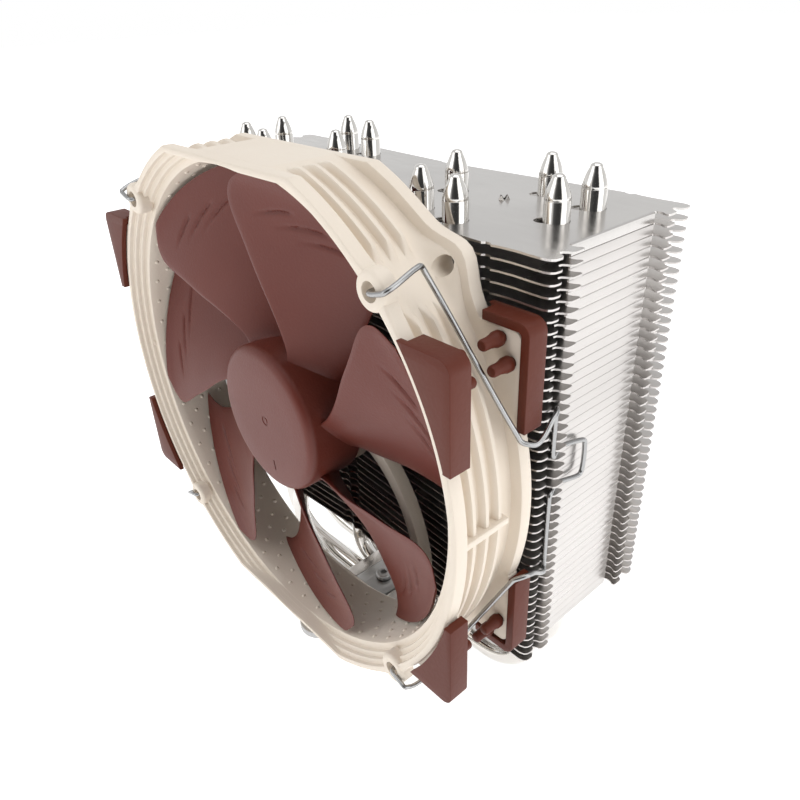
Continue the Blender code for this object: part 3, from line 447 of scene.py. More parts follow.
def coilTree():
    tree = Repeat("windCoil", {"Turns": "Float", "Radius": "Float", "Height": "Float", "Wire": "Float",
                               "Material": "Material"})
    spiral = tree.add("GeometryNodeCurveSpiral", None,
                      {"Resolution": 36, "Rotations": tree.given["Turns"], "Start Radius": tree.given["Radius"],
                       "End Radius": tree.given["Radius"], "Height": tree.given["Height"]})
    wire = tree.add("GeometryNodeCurvePrimitiveCircle", {"mode": "RADIUS"},
                    {"Resolution": 10, "Radius": tree.given["Wire"]})
    tube = tree.add("GeometryNodeCurveToMesh", None,
                    {"Curve": spiral.outputs[0], "Profile Curve": wire.outputs[0], "Fill Caps": True})
    return tree.end(tube.outputs[0])


stackUp, turnRound, studRows, windCoil = stackTree(), wheelTree(), studTree(), coilTree()


# heat pipes

pipe = {"radius": 3.0, "sides": 28, "basePitch": 6.5, "baseHeight": 6.8, "topHeight": 165.0, "collarTop": 159.6,
        "maxBend": 18.0, "straightHalf": 13.0, "stackBottom": 42.0, "tipRadius": 1.5,
        "rightLegs": ((42.0, -18.5), (29.0, -16.5), (59.0, -4.5), (24.0, 0.5), (59.0, 9.0), (44.0, 12.5))}


def legPlaces(index):
    right = pipe["rightLegs"][index]
    left = pipe["rightLegs"][len(pipe["rightLegs"]) - 1 - index]
    return right, (-left[0], -left[1])


def pipePlaces():
    return [leg for index in range(len(pipe["rightLegs"])) for leg in legPlaces(index)]


def legPath(index, leg):
    x, y = leg
    side = 1 if x > 0 else -1
    bend = min(abs(x) - pipe["straightHalf"], pipe["maxBend"])
    startY = (index - (len(pipe["rightLegs"]) - 1) / 2) * pipe["basePitch"]
    path = []
    for step in range(13):
        angle = pi / 2 * step / 12
        path.append(Vector((side * (abs(x) - bend + bend * sin(angle)), startY,
                            pipe["baseHeight"] + bend * (1 - cos(angle)))))
    low = pipe["baseHeight"] + pipe["maxBend"] + 1
    high = pipe["stackBottom"] - 1
    for step in range(11):
        part = step / 10
        ease = (1 - cos(pi * part)) / 2
        path.append(Vector((x, startY + (y - startY) * ease, low + (high - low) * part)))
    return path


def tipRings():
    # (height, radius): the collar, the fine ring where it is drawn in, the cone and its round end
    top, collar, radius, tip = pipe["topHeight"], pipe["collarTop"], pipe["radius"], pipe["tipRadius"]
    rings = [(collar - 0.35, radius), (collar - 0.2, radius - 0.07), (collar, radius - 0.07),
             (collar + 0.15, radius - 0.03)]
    cone = top - 1.0
    for step in range(1, 7):
        part = step / 6
        rings.append((collar + 0.15 + (cone - collar - 0.15) * part,
                      radius - 0.03 - (radius - 0.03 - tip) * (0.55 * part + 0.45 * part ** 2)))
    for step in range(1, 6):
        angle = pi / 2 * step / 5
        rings.append((cone + (top - cone) * sin(angle), max(tip * cos(angle) ** 0.8, 0.05)))
    return rings


def makePipes():
    for index in range(len(pipe["rightLegs"])):
        right, left = legPlaces(index)
        paths, radii = [], []
        for leg in (left, right):
            path = legPath(index, leg)
            size = [pipe["radius"]] * len(path)
            for height, radius in tipRings():
                path.append(Vector((leg[0], leg[1], height)))
                size.append(radius)
            paths.append(path)
            radii.append(size)
        path = list(reversed(paths[0])) + paths[1]
        body = bmesh.new()
        addTube(body, path, list(reversed(radii[0])) + radii[1], pipe["sides"], Vector((0, 1, 0)))
        place(shape("heatPipe%d" % (index + 1), body), bodyOfStack, "polished_nickel", pipeNickel,
              ["heat_pipe_%d" % (index + 1)], 50)


makePipes()
print("heat pipes made")


# fin stack

fin = {"pitch": 2.56, "thickness": 0.45, "count": 42, "topPlate": 154.3, "topThickness": 0.5, "wallX": 71.2,
       "wallHalf": 15.3, "flange": 2.50, "lastFlange": 1.25, "hole": 3.12, "notchAngle": radians(212),
       "notchRadius": 2.1, "notchReach": 2.9, "markX": 38.5, "markY": 2.0, "markHalf": 0.9, "flapRise": 0.95,
       "flapThick": 0.25, "bend": 0.25}


def finOutline():
    # one quarter, from the middle of the front edge round the two lobes to the side wall
    quarter = [(0.0, -23.2), (1.6, -22.4), (3.2, -22.4), (4.0, -23.0), (20.0, -23.9), (40.0, -25.0), (56.5, -25.9),
               (57.2, -25.3), (58.6, -25.3), (59.2, -26.0), (61.0, -25.6), (64.9, -25.4), (70.2, -25.6), (72.6, -25.6),
               (73.8, -25.2), (74.4, -24.5), (74.6, -23.5), (74.6, -22.7), (74.35, -22.15), (73.7, -21.7),
               (72.8, -21.35), (72.3, -20.7), (72.5, -19.9), (73.3, -19.35), (74.1, -19.05), (74.55, -18.5),
               (74.6, -17.6), (74.6, -16.1), (74.35, -15.45), (73.8, -15.35), (72.9, -15.9), (72.0, -16.1),
               (71.1, -15.9), (70.8, -15.4)]
    right = quarter + [(x, -y) for x, y in reversed(quarter)]
    left = [(-x, y) for x, y in reversed(right)]
    return right[1:-1] + [(0.0, 23.2)] + left[1:-1] + [(0.0, -23.2)]


def pipeHole(centre, notched):
    # a round hole; the top plate's holes run on into a smaller one that lets solder in
    outline = []
    for step in range(28):
        angle = 2 * pi * step / 28
        radius = fin["hole"]
        if notched:
            away = angle - fin["notchAngle"]
            inside = fin["notchRadius"] ** 2 - (fin["notchReach"] * sin(away)) ** 2
            if inside > 0 and cos(away) > 0:
                radius = max(radius, fin["notchReach"] * cos(away) + sqrt(inside))
        outline.append((centre[0] + radius * cos(angle), centre[1] + radius * sin(angle)))
    return outline


def addPlate(body, loops, low, thickness):
    # a flat plate inside the first loop with the other loops cut out
    flat = bmesh.new()
    for loop in loops:
        ring = [flat.verts.new((x, y, low)) for x, y in loop]
        for here, there in zip(ring, ring[1:] + ring[:1]):
            flat.edges.new((here, there))
    bmesh.ops.triangle_fill(flat, use_beauty=True, edges=flat.edges[:], normal=(0, 0, 1))
    raised = bmesh.ops.extrude_face_region(flat, geom=flat.faces[:])
    moved = [item for item in raised["geom"] if isinstance(item, bmesh.types.BMVert)]
    bmesh.ops.translate(flat, vec=(0, 0, thickness), verts=moved)
    bmesh.ops.recalc_face_normals(flat, faces=flat.faces)
    mesh = bpy.data.meshes.new("plate")
    flat.to_mesh(mesh)
    flat.free()
    body.from_mesh(mesh)
    bpy.data.meshes.remove(mesh)


def addFlange(body, side, length):
    # the fin's edge folded down over the fin below, with a round bend
    wall, thick = fin["wallX"], fin["thickness"]
    outer = arc((wall - fin["bend"], thick - fin["bend"]), fin["bend"], pi / 2, 0, 3)
    outline = [(wall - thick, thick)] + outer + [(wall, thick - length), (wall - thick, thick - length)]
    points = [(x * side, z) for x, z in outline]
    addPrism(body, points, "Y", -fin["wallHalf"], fin["wallHalf"])


def oneFin(name, length):
    body = bmesh.new()
    loops = [finOutline()] + [pipeHole(centre, False) for centre in pipePlaces()]
    addPlate(body, loops, 0.0, fin["thickness"])
    for side in (-1, 1):
        addFlange(body, side, length)
    bmesh.ops.recalc_face_normals(body, faces=body.faces)
    mesh = bpy.data.meshes.new(name)
    body.to_mesh(mesh)
    body.free()
    made = bpy.data.objects.new(name, mesh)
    bpy.context.scene.collection.objects.link(made)
    return made


def makeFins():
    stack = oneFin("finStack", fin["flange"])
    first = fin["topPlate"] - fin["pitch"]
    stackUp.run(stack, {"Count": fin["count"], "First": first, "Pitch": -fin["pitch"], "Material": finNickel})
    last = oneFin("lastFin", fin["lastFlange"])
    last.data.transform(Matrix.Translation((0, 0, first - fin["count"] * fin["pitch"])))
    join(stack, last)
    place(stack, bodyOfStack, "nickel_plate", finNickel, ["fin_stack"], 30)


def makeTopPlate():
    marks = []
    for side in (-1, 1):
        x, y, half = side * fin["markX"], side * fin["markY"], fin["markHalf"]
        marks.append([(x - half, y - half), (x + half, y - half), (x + half, y + half), (x - half, y + half)])
    body = bmesh.new()
    loops = [finOutline()] + [pipeHole(centre, True) for centre in pipePlaces()] + marks
    addPlate(body, loops, fin["topPlate"], fin["topThickness"])
    top = fin["topPlate"] + fin["topThickness"]
    folded = bmesh.new()
    for side in (-1, 1):
        addFlange(folded, side, fin["flange"])
    bmesh.ops.translate(folded, vec=(0, 0, top - fin["thickness"]), verts=folded.verts)
    edges = bpy.data.meshes.new("edges")
    folded.to_mesh(edges)
    folded.free()
    body.from_mesh(edges)
    bpy.data.meshes.remove(edges)
    for side in (-1, 1):
        for turn in range(4):
            # a small flap bent up from each side of the punched mark
            spin = Matrix.Translation((side * fin["markX"], side * fin["markY"], top)) @ Matrix.Rotation(
                pi / 2 * turn, 4, "Z")
            half, out, rise = fin["markHalf"], fin["markHalf"] + fin["flapThick"], fin["flapRise"]
            corners = [(half, -half, -0.1), (out, -half, -0.1), (half, half, -0.1), (out, half, -0.1),
                       (half + 0.15, -0.1, rise), (half + 0.35, -0.1, rise), (half + 0.15, 0.1, rise),
                       (half + 0.35, 0.1, rise)]
            points = [body.verts.new(spin @ Vector(corner)) for corner in corners]
            for face in ((0, 1, 3, 2), (4, 6, 7, 5), (0, 4, 5, 1), (2, 3, 7, 6), (0, 2, 6, 4), (1, 5, 7, 3)):
                body.faces.new([points[i] for i in face])
    made = shape("topPlate", body)
    place(made, bodyOfStack, "nickel_plate", plateNickel, ["top_fin"], 30)


makeFins()
makeTopPlate()
print("fins made")


# base, clamp, bar and screws

base = {"halfX": 20.0, "halfY": 21.0, "chamfer": 1.2, "gap": 0.3, "pipeGap": 0.1, "edge": 0.4, "clampHalfX": 12.5,
        "clampTop": 12.6, "barHalf": 7.0, "barLong": 47.5, "barThick": 2.5, "boltY": 12.0, "boltHole": 2.1,
        "mountHalf": 41.5, "mountHole": 2.5}


def pipeRuns():
    body = bmesh.new()
    radius = pipe["radius"] + base["pipeGap"]
    for index in range(len(pipe["rightLegs"])):
        middle = ((index - (len(pipe["rightLegs"]) - 1) / 2) * pipe["basePitch"], pipe["baseHeight"])
        addPrism(body, arc(middle, radius, 0, 2 * pi * 31 / 32, 31), "X", -50, 50)
    return shape("pipeRuns", body)


def makeBase():
    x, y, c = base["halfX"], base["halfY"], base["chamfer"]
    outline = [(x - c, -y), (x, c - y), (x, y - c), (x - c, y), (c - x, y), (-x, y - c), (-x, c - y), (c - x, -y)]
    plate = shaped("basePlate", (addPrism, (outline, "Z", 0.0, pipe["baseHeight"] - base["gap"] / 2)))
    bevel(plate, base["edge"], 2, 30)
    combine(plate, "DIFFERENCE", pipeRuns())
    place(plate, bodyOfStack, "polished_nickel", baseNickel, ["base_plate"], 30)

    low, high = pipe["baseHeight"] + base["gap"] / 2, base["clampTop"]
    shoulder, channel, wide = high + base["barThick"], base["barHalf"] + base["gap"], base["clampHalfX"]
    outline = [(-wide, low), (wide, low), (wide, shoulder), (channel, shoulder), (channel, high),
               (-channel, high), (-channel, shoulder), (-wide, shoulder)]
    clamp = shaped("pipeClamp", (addPrism, (outline, "Y", -y, y)))
    bevel(clamp, base["edge"], 3, 30)
    combine(clamp, "DIFFERENCE", pipeRuns())
    wells = bmesh.new()
    size, floorOfWell = base["boltHole"], high - bolt["deep"] - base["gap"]
    for side in (-1, 1):
        addTurned(wells, [(0, floorOfWell), (size, floorOfWell), (size, high + 5), (0, high + 5)], 24, "Z",
                  (0, side * base["boltY"]))
    combine(clamp, "DIFFERENCE", shape("wells", wells))
    place(clamp, bodyOfStack, "nickel_plate", baseNickel, ["pipe_clamp"], 30)

    half, long = base["barHalf"], base["barLong"]
    low, high = base["clampTop"] + base["gap"], base["clampTop"] + base["gap"] + base["barThick"]
    end = arc((0, long - half), half, 0, pi, 24)
    bar = shaped("mountingBar", (addPrism, (end + [(-a, -b) for a, b in end], "Z", low, high)))
    bevel(bar, 0.35, 2, 60)
    holes = bmesh.new()
    for side in (-1, 1):
        for middle, radius in ((base["mountHalf"], base["mountHole"]), (base["boltY"], base["boltHole"])):
            addTurned(holes, [(0, 0), (radius, 0), (radius, 50), (0, 50)], 28, "Z", (0, side * middle))
    combine(bar, "DIFFERENCE", shape("holes", holes))
    place(bar, bodyOfStack, "steel", screwSteel, ["mounting_bar"], 30)


bolt = {"shank": 1.5, "deep": 1.8, "head": 2.8, "rise": 1.8, "round": 0.7, "socket": 1.25, "socketDeep": 1.2}
screw = {"radius": 1.9, "head": 4.2, "headHeight": 3.0, "tip": 8.5, "clip": 3.7, "clipThick": 1.0, "neck": 1.4,
         "threadTurns": 3, "threadDeep": 0.3, "round": 0.9, "crossReach": 0.62, "crossHalf": 0.5, "crossDeep": 1.4}
# the spring's foot is its fixed end, in metres
spring = {"wire": 0.45, "radius": 3.0, "length": 6.5, "turns": 4, "foot": 0.0157}


def makeBolts():
    barTop = base["clampTop"] + base["gap"] + base["barThick"]
    low = barTop + base["gap"]
    for side, name in ((-1, "Front"), (1, "Rear")):
        centre = (0, side * base["boltY"])
        shank, head, rise, corner = bolt["shank"], bolt["head"], bolt["rise"], bolt["round"]
        end = base["clampTop"] - bolt["deep"]
        profile = ([(0, end), (shank - 0.3, end), (shank, end + 0.3), (shank, low), (head, low),
                    (head, low + rise - corner)]
                   + arc((head - corner, low + rise - corner), corner, pi / 8, pi / 2, 4) + [(0, low + rise)])
        made = shaped("barBolt" + name, (addTurned, (profile, 32, "Z", centre)))
        socket = bmesh.new()
        addPrism(socket, arc(centre, bolt["socket"], 0, 2 * pi * 5 / 6, 5), "Z", low + rise - bolt["socketDeep"],
                 low + rise + 1)
        combine(made, "DIFFERENCE", shape("socket", socket))
        place(made, bodyOfStack, "steel", screwSteel, ["bar_bolt_" + name.lower()], 30)


def makeScrews():
    barLow = base["clampTop"] + base["gap"]
    barTop = barLow + base["barThick"]
    headLow = barTop + base["gap"] * 2 + spring["length"] + 2 * spring["wire"]
    headTop = headLow + screw["headHeight"]
    clipTop = barLow - base["gap"]
    clipLow = clipTop - screw["clipThick"]
    for side, name in ((-1, "front"), (1, "rear")):
        at = Vector((0, side * base["mountHalf"], 0))
        radius, neck, head = screw["radius"], screw["neck"], screw["head"]
        root, corner = radius - screw["threadDeep"], screw["round"]
        profile = [(0, screw["tip"]), (root - 0.5, screw["tip"]), (root, screw["tip"] + 0.8)]
        bottom, top, turns = screw["tip"] + 0.8, clipLow - 0.6, screw["threadTurns"]
        pitch = (top - bottom) / turns
        for turn in range(turns):
            start = bottom + pitch * turn
            profile += [(root, start + pitch * 0.15), (radius, start + pitch * 0.45), (radius, start + pitch * 0.6),
                        (root, start + pitch * 0.9)]
        profile += [(radius, clipLow - 0.45), (radius, clipLow - 0.3), (neck, clipLow - 0.3), (neck, clipTop + 0.3),
                    (radius, clipTop + 0.3), (radius, headLow), (head - 0.3, headLow), (head, headLow + 0.3)]
        profile += arc((head - corner, headTop - corner), corner, 0, pi / 2, 5) + [(0, headTop)]
        made = shaped("screw_" + name + "_turned", (addTurned, (profile, 36, "Z")))
        reach, half, bottom = head * screw["crossReach"], screw["crossHalf"], headTop - screw["crossDeep"]
        for low, high in (((-reach, -half, bottom), (reach, half, headTop + 1)),
                          ((-half, -reach, bottom), (half, reach, headTop + 1))):
            combine(made, "DIFFERENCE", shaped("cross", (addBox, (low, high))))
        bevel(made, 0.08, 1, 50)
        place(made, "screw_turning_" + name, "steel", screwSteel, ["screw_" + name], 30, at)
        ring = [(neck + 0.3, clipLow), (screw["clip"] - 0.2, clipLow), (screw["clip"], clipLow + 0.2),
                (screw["clip"], clipTop - 0.2), (screw["clip"] - 0.2, clipTop), (neck + 0.3, clipTop)]
        clip = shaped("screwClip_" + name, (addTurned, (ring, 32, "Z")))
        place(clip, "screw_carrier_" + name, "spring_steel", wireSteel, ["screw_clip_" + name], 30, at)
        coil = shaped("screwSpring_" + name, (addBox, ((-1, -1, -1), (1, 1, 1))))
        windCoil.run(coil, {"Turns": float(spring["turns"]), "Radius": spring["radius"], "Height": spring["length"],
                            "Wire": spring["wire"], "Material": wireSteel})
        coilAt = at + Vector((0, 0, barTop + base["gap"] + spring["wire"]))
        place(coil, bodyOfStack, "spring_steel", wireSteel, ["screw_spring_" + name], 60, coilAt)
        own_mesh(coil)


makeBase()
makeBolts()
makeScrews()
print("base made")


# fan frame

hoop = {"rim": 75.3, "rimDeep": 3.8, "wall": 71.8, "tunnel": 68.8, "flat": 70.0, "deep": 25.0, "inlet": 73.4,
        "steps": 3, "stepDeep": 1.4, "inletHalf": 68.4, "rib": 73.7, "ribDepths": (7.5, 11.5, 15.5),
        "holeHalf": 52.5, "hole": 2.2, "frontEar": 4.4, "rearSwell": 4.3, "wallSwell": 4.6, "frontSwell": 1.4,
        "wing": 72.5, "wingTop": 43.0, "wingLow": 20.8, "recess": 0.6, "pegs": ((67.5, 40.8), (70.2, 36.0)),
        "pegHole": 1.3, "crossRib": 0.9}
strut = {"count": 4, "start": -12, "sweep": -44, "inner": 18.5, "half": 2.2, "flare": 1.1, "front": 20.7,
         "rear": 24.8, "edge": 0.5}
motor = {"plate": 20.5, "front": 20.5, "rear": 24.6, "bore": 3.4, "boreEnd": 23.6, "tube": 4.6, "tubeFront": 7.0}
boot = {"x": -37.5, "half": 2.2, "long": 6.0, "sink": 2.4, "rise": 1.0, "gap": 0.25, "ridges": 3, "ridgePitch": 2.4}
studs = {"rows": 5, "rowPitch": 3.6, "first": 6.8, "perRow": 56, "radius": 0.8, "sink": 0.35}


def easeIn(value, low, high):
    part = min(max((value - low) / (high - low), 0.0), 1.0)
    return part * part * (3 - 2 * part)


def fromEar(angle):
    return abs(atan2(abs(sin(angle)), abs(cos(angle))) - radians(45))


def ribShare(angle):
    # the ribs run out at the flats and round the ears
    fromFlat = easeIn(abs(cos(angle)), cos(radians(75)), cos(radians(72.5)))
    return fromFlat * easeIn(fromEar(angle), radians(4.0), radians(7.5))


def hoopSection(angle):
    up = max(abs(sin(angle)), 1e-6)
    rim = min(hoop["rim"], hoop["flat"] / up)
    wall = min(hoop["wall"], hoop["flat"] / up - 0.02)
    rib = min(hoop["wall"] + (hoop["rib"] - hoop["wall"]) * ribShare(angle), hoop["flat"] / up - 0.01)
    tunnel = hoop["tunnel"]
    deep, thick = hoop["deep"], hoop["rimDeep"]
    steps = []
    for step in range(hoop["steps"]):
        radius = hoop["inlet"] - step * (hoop["inlet"] - tunnel) / (hoop["steps"] + 0.5)
        steps.append(max(tunnel + 0.03 * (hoop["steps"] - step), min(radius, hoop["inletHalf"] / up)))
    lip = min(1.5, (rim - tunnel) * 0.4)
    out = min(0.45, (rim - wall) * 0.45 + 0.01)
    # round the ears the flanges swell, and the wall rises to meet the rear one
    rearSwell = hoop["rearSwell"] * exp(-(fromEar(angle) / radians(4.6)) ** 2)
    wallSwell = hoop["wallSwell"] * exp(-(fromEar(angle) / radians(5.2)) ** 2)
    rim += hoop["frontSwell"] * exp(-(fromEar(angle) / radians(3.4)) ** 2)
    section = [(steps[0] + 0.30, 0.0), (rim - 0.8, 0.0), (rim - 0.36, 0.10), (rim - 0.10, 0.36), (rim, 0.8),
               (rim, thick - 0.5), (rim - out * 0.3, thick - 0.12), (rim - out, thick), (wall + out, thick),
               (wall + out * 0.3, thick + 0.12), (wall, thick + 0.5)]
    for depth in hoop["ribDepths"]:
        rise = rib - wall
        section += [(wall, depth - 1.35), (wall + rise * 0.12, depth - 1.1), (wall + rise * 0.75, depth - 0.8),
                    (wall + rise, depth - 0.45), (wall + rise, depth + 0.45), (wall + rise * 0.75, depth + 0.8),
                    (wall + rise * 0.12, depth + 1.1), (wall, depth + 1.35)]
    rear = min(hoop["rim"], hoop["flat"] / up) - 0.3 + rearSwell
    section += [(wall + wallSwell * 0.08, deep - thick - 3.2), (wall + wallSwell * 0.35, deep - thick - 2.2),
                (wall + wallSwell * 0.72, deep - thick - 1.2), (wall + wallSwell, deep - thick - 0.5),
                (wall + wallSwell + out * 0.3, deep - thick - 0.12), (wall + wallSwell + out, deep - thick),
                (rear - out, deep - thick), (rear - out * 0.3, deep - thick + 0.12), (rear, deep - thick + 0.5),
                (rear, deep - 0.9), (rear - 0.2, deep - 0.3), (rear - 0.5, deep), (rear - lip, deep),
                (rear - lip - 0.15, deep - 0.5), (tunnel + 0.35, deep - 0.5), (tunnel, deep - 1.0)]
    section += [(tunnel, deep - 6), (tunnel, deep - 11), (tunnel, hoop["steps"] * hoop["stepDeep"] + 3)]
    low = hoop["steps"] * hoop["stepDeep"]
    inner = tunnel
    for step in reversed(range(hoop["steps"])):
        outer = steps[step]
        land = outer - inner
        section += [(inner, low + 0.28), (inner + min(0.1, land * 0.2), low + 0.08),
                    (inner + min(0.3, land * 0.4), low), (outer - min(0.15, land * 0.2), low - 0.05),
                    (outer, low - 0.22)]
        inner = outer
        low -= hoop["stepDeep"]
    section += [(inner, 0.28), (inner + 0.08, 0.08)]
    return section


def hoopBody():
    angles = {2 * pi * step / 240 for step in range(240)}
    for edge, size in (("flat", hoop["rim"]), ("flat", hoop["wall"]), ("flat", hoop["rim"] - 0.3),
                       ("inletHalf", hoop["inlet"])):
        corner = asin(hoop[edge] / size)
        angles |= {corner, pi - corner, pi + corner, 2 * pi - corner}
    ordered = []
    for angle in sorted(angles):
        if not ordered or angle - ordered[-1] > radians(0.12):
            ordered.append(angle)
    body = bmesh.new()
    rings = []
    for angle in ordered:
        rings.append([body.verts.new((radius * cos(angle), depth, radius * sin(angle)))
                      for radius, depth in hoopSection(angle)])
    for here, there in zip(rings, rings[1:] + rings[:1]):
        for i in range(len(here)):
            j = (i + 1) % len(here)
            body.faces.new((here[i], here[j], there[j], there[i]))
    return shape("fanHoop", body)


def wingOutline(inner):
    low = asin(hoop["wingLow"] / hoop["rim"])
    high = asin(hoop["wingTop"] / hoop["rim"])
    lowX = sqrt(hoop["rim"] ** 2 - hoop["wingLow"] ** 2) - 0.1
    return (list(reversed(arc((0, 0), inner, low, high, 8)))
            + [(min(lowX, hoop["wing"]), hoop["wingLow"]), (hoop["wing"], hoop["wingLow"] + 1.0)]
            + arc((hoop["wing"] - 2.0, hoop["wingTop"] - 2.0), 2.0, 0, pi / 2, 6)
            + [(hoop["rim"] * cos(high) - 1.0, hoop["wingTop"])])


def mirroredOutline(outline, signX, signZ):
    points = [(x * signX, z * signZ) for x, z in outline]
    return points if signX * signZ > 0 else list(reversed(points))


def strutOutline(index):
    start = radians(strut["start"]) + 2 * pi / strut["count"] * index
    inner, outer = strut["inner"], hoop["tunnel"] + 0.8
    one, other = [], []
    for step in range(19):
        part = step / 18
        radius = inner + (outer - inner) * part
        middle = start + radians(strut["sweep"]) * part ** 1.1
        half = (strut["half"] + strut["flare"] * (2 * part - 1) ** 4) / radius
        one.append((radius * cos(middle + half), radius * sin(middle + half)))
        other.append((radius * cos(middle - half), radius * sin(middle - half)))
    return one + list(reversed(other))


def makeFrame():
    made = hoopBody()
    deep, thick = hoop["deep"], hoop["rimDeep"]
    for signX in (-1, 1):
        for signZ in (-1, 1):
            for inner, low, high in ((hoop["inlet"] + 0.6, hoop["recess"], thick),
                                     (hoop["wall"] - 1, deep - thick, deep - hoop["recess"])):
                outline = mirroredOutline(wingOutline(inner), signX, signZ)
                wing = shaped("wing", (addPrism, (outline, "Y", low, high)))
                combine(made, "UNION", bevel(wing, 0.35, 2, 50))
    half, ear = hoop["holeHalf"], hoop["frontEar"]
    for signX in (-1, 1):
        for signZ in (-1, 1):
            centre = (half * signX, half * signZ)
            profile = ([(0, thick)] + arc((ear - 0.6, thick - 0.6), 0.6, pi / 2, 0, 4)
                       + arc((ear - 1.1, 0.84), 1.1, 0, -pi / 2, 6) + [(0, -0.26)])
            combine(made, "UNION", shaped("ear", (addTurned, (profile, 40, "Y", centre))))
    for side in (-1, 1):
        ends = sorted((side * 70.4, side * (hoop["rib"] + 0.9)))
        wide = hoop["crossRib"]
        rib = shaped("crossRib", (addBox, ((ends[0], thick - 0.5, -wide), (ends[1], deep - thick - 3.6, wide))))
        combine(made, "UNION", bevel(rib, 0.4, 2, 50))
    wide, front, rear = motor["plate"], motor["front"], motor["rear"]
    profile = [(0, front), (wide - 0.3, front), (wide, front + 0.3), (wide, rear - 0.4), (wide - 0.4, rear), (0, rear)]
    plate = shaped("motorPlate", (addTurned, (profile, 72, "Y")))
    for index in range(strut["count"]):
        arm = shaped("strut", (addPrism, (strutOutline(index), "Y", strut["front"], strut["rear"])))
        combine(plate, "UNION", bevel(arm, strut["edge"], 2, 50))
    bore, end = motor["bore"], motor["boreEnd"]
    combine(plate, "DIFFERENCE", shaped("bore", (addTurned, ([(0, 0), (bore, 0), (bore, end), (0, end)], 36, "Y"))))
    tube, start, end = motor["tube"], motor["tubeFront"], front + 1
    profile = [(bore, start), (tube - 0.2, start), (tube, start + 0.2), (tube, end), (bore, end)]
    combine(plate, "UNION", shaped("tube", (addTurned, (profile, 36, "Y"))))
    combine(made, "UNION", plate)
    holes = bmesh.new()
    for signX in (-1, 1):
        for signZ in (-1, 1):
            centre = (half * signX, half * signZ)
            for low, high in ((-5, thick + 1), (deep - thick - 5.4, deep + 5)):
                profile = [(0, low), (hoop["hole"], low), (hoop["hole"], high), (0, high)]
                addTurned(holes, profile, 32, "Y", centre)
            for x, z in hoop["pegs"]:
                size = hoop["pegHole"]
                addTurned(holes, [(0, -5), (size, -5), (size, 30), (0, 30)], 20, "Y", (x * signX, z * signZ))
    low, high = bootBox(boot["gap"])
    addBox(holes, low, high)
    combine(made, "DIFFERENCE", shape("holes", holes))
    place(made, bodyOfStack, "cream_plastic", creamPlastic, ["fan_frame"], 32, fanPlace)


def bootBox(extra):
    x, half = boot["x"], boot["half"]
    z = sqrt(hoop["rim"] ** 2 - x ** 2)
    low = hoop["deep"] - hoop["rimDeep"] - boot["long"]
    return ((x - half - extra, low - extra, z - boot["sink"] - extra),
            (x + half + extra, hoop["deep"] + extra, z + boot["rise"] + extra))


def makeBoot():
    low, high = bootBox(0.0)
    made = shaped("cableBoot", (addBox, (low, high)))
    bevel(made, 0.5, 3, 50)
    for row in range(boot["ridges"]):
        depth = low[1] + 1.6 + boot["ridgePitch"] * row
        cut = shaped("ridge", (addBox, ((low[0] - 1, depth, high[2] - 0.35), (high[0] + 1, depth + 0.8, high[2] + 1))))
        combine(made, "DIFFERENCE", cut)
    place(made, bodyOfStack, "black_rubber", blackRubber, ["cable_boot"], 35, fanPlace)


def makeStuds():
    body = bmesh.new()
    bmesh.ops.create_uvsphere(body, u_segments=8, v_segments=5, radius=studs["radius"])
    made = shape("tunnelStuds", body)
    studRows.run(made, {"Rows": studs["rows"], "Row Pitch": studs["rowPitch"], "First Depth": studs["first"],
                        "Per Row": studs["perRow"], "Tube Radius": hoop["tunnel"] + studs["sink"],
                        "Material": creamPlastic})
    place(made, bodyOfStack, "cream_plastic", creamPlastic, (), 80, fanPlace)


makeFrame()
makeBoot()
makeStuds()
print("fan frame made")


# impeller

blade = {"count": 7, "first": 94.5, "thick": 1.3, "tip": 67.4, "across": 48, "along": 96,
         # each section's radius, the angles of its leading and trailing edges and their depths
         "sections": ((20.8, -27.0, -58.0, 8.0, 18.0), (30.0, -17.0, -52.0, 6.6, 18.2),
                      (40.0, -8.0, -47.0, 5.5, 17.8), (50.0, -3.0, -45.0, 4.7, 17.2),
                      (59.0, 0.0, -45.0, 4.2, 16.6), (64.0, -1.5, -47.0, 4.2, 16.2), (67.4, -7.0, -50.0, 4.2, 16.2)),
         # each groove's start across the blade and radius, then its end and radius
         "grooves": ((0.17, 57.0, 0.44, 61.2), (0.30, 55.2, 0.66, 60.6), (0.45, 54.0, 0.90, 60.4)),
         "grooveWide": 0.40, "grooveDeep": 0.62}
hub = {"radius": 21.5, "face": 2.3, "rear": 19.0, "wall": 1.7, "edge": 2.6, "markRadius": 1.3}


def bladeSection(radius):
    # the section's angles and depths at a radius, on a smooth curve through the given sections
    rows = blade["sections"]
    i = 0
    while i < len(rows) - 2 and radius > rows[i + 1][0]:
        i += 1
    here, there = rows[i], rows[i + 1]
    before, after = rows[max(i - 1, 0)], rows[min(i + 2, len(rows) - 1)]
    span = there[0] - here[0]
    t = (radius - here[0]) / span
    values = []
    for k in range(1, 5):
        slope = (there[k] - before[k]) / (there[0] - before[0]) * span
        slopeAfter = (after[k] - here[k]) / (after[0] - here[0]) * span
        values.append(here[k] * (2 * t ** 3 - 3 * t ** 2 + 1) + slope * (t ** 3 - 2 * t ** 2 + t)
                      + there[k] * (3 * t ** 2 - 2 * t ** 3) + slopeAfter * (t ** 3 - t ** 2))
    return values


def grooveDip(radius, part):
    # thin curved grooves that run back and outwards, deeper towards their ends
    dip = 0.0
    for start, low, end, high in blade["grooves"]:
        if not start < part < end:
            continue
        run = (part - start) / (end - start)
        away = radius - low - (high - low) * run ** 0.8
        dip = max(dip, exp(-(away / blade["grooveWide"]) ** 2) * min(run * 2.5, (1 - run) * 7, 1.0))
    return dip * blade["grooveDeep"]


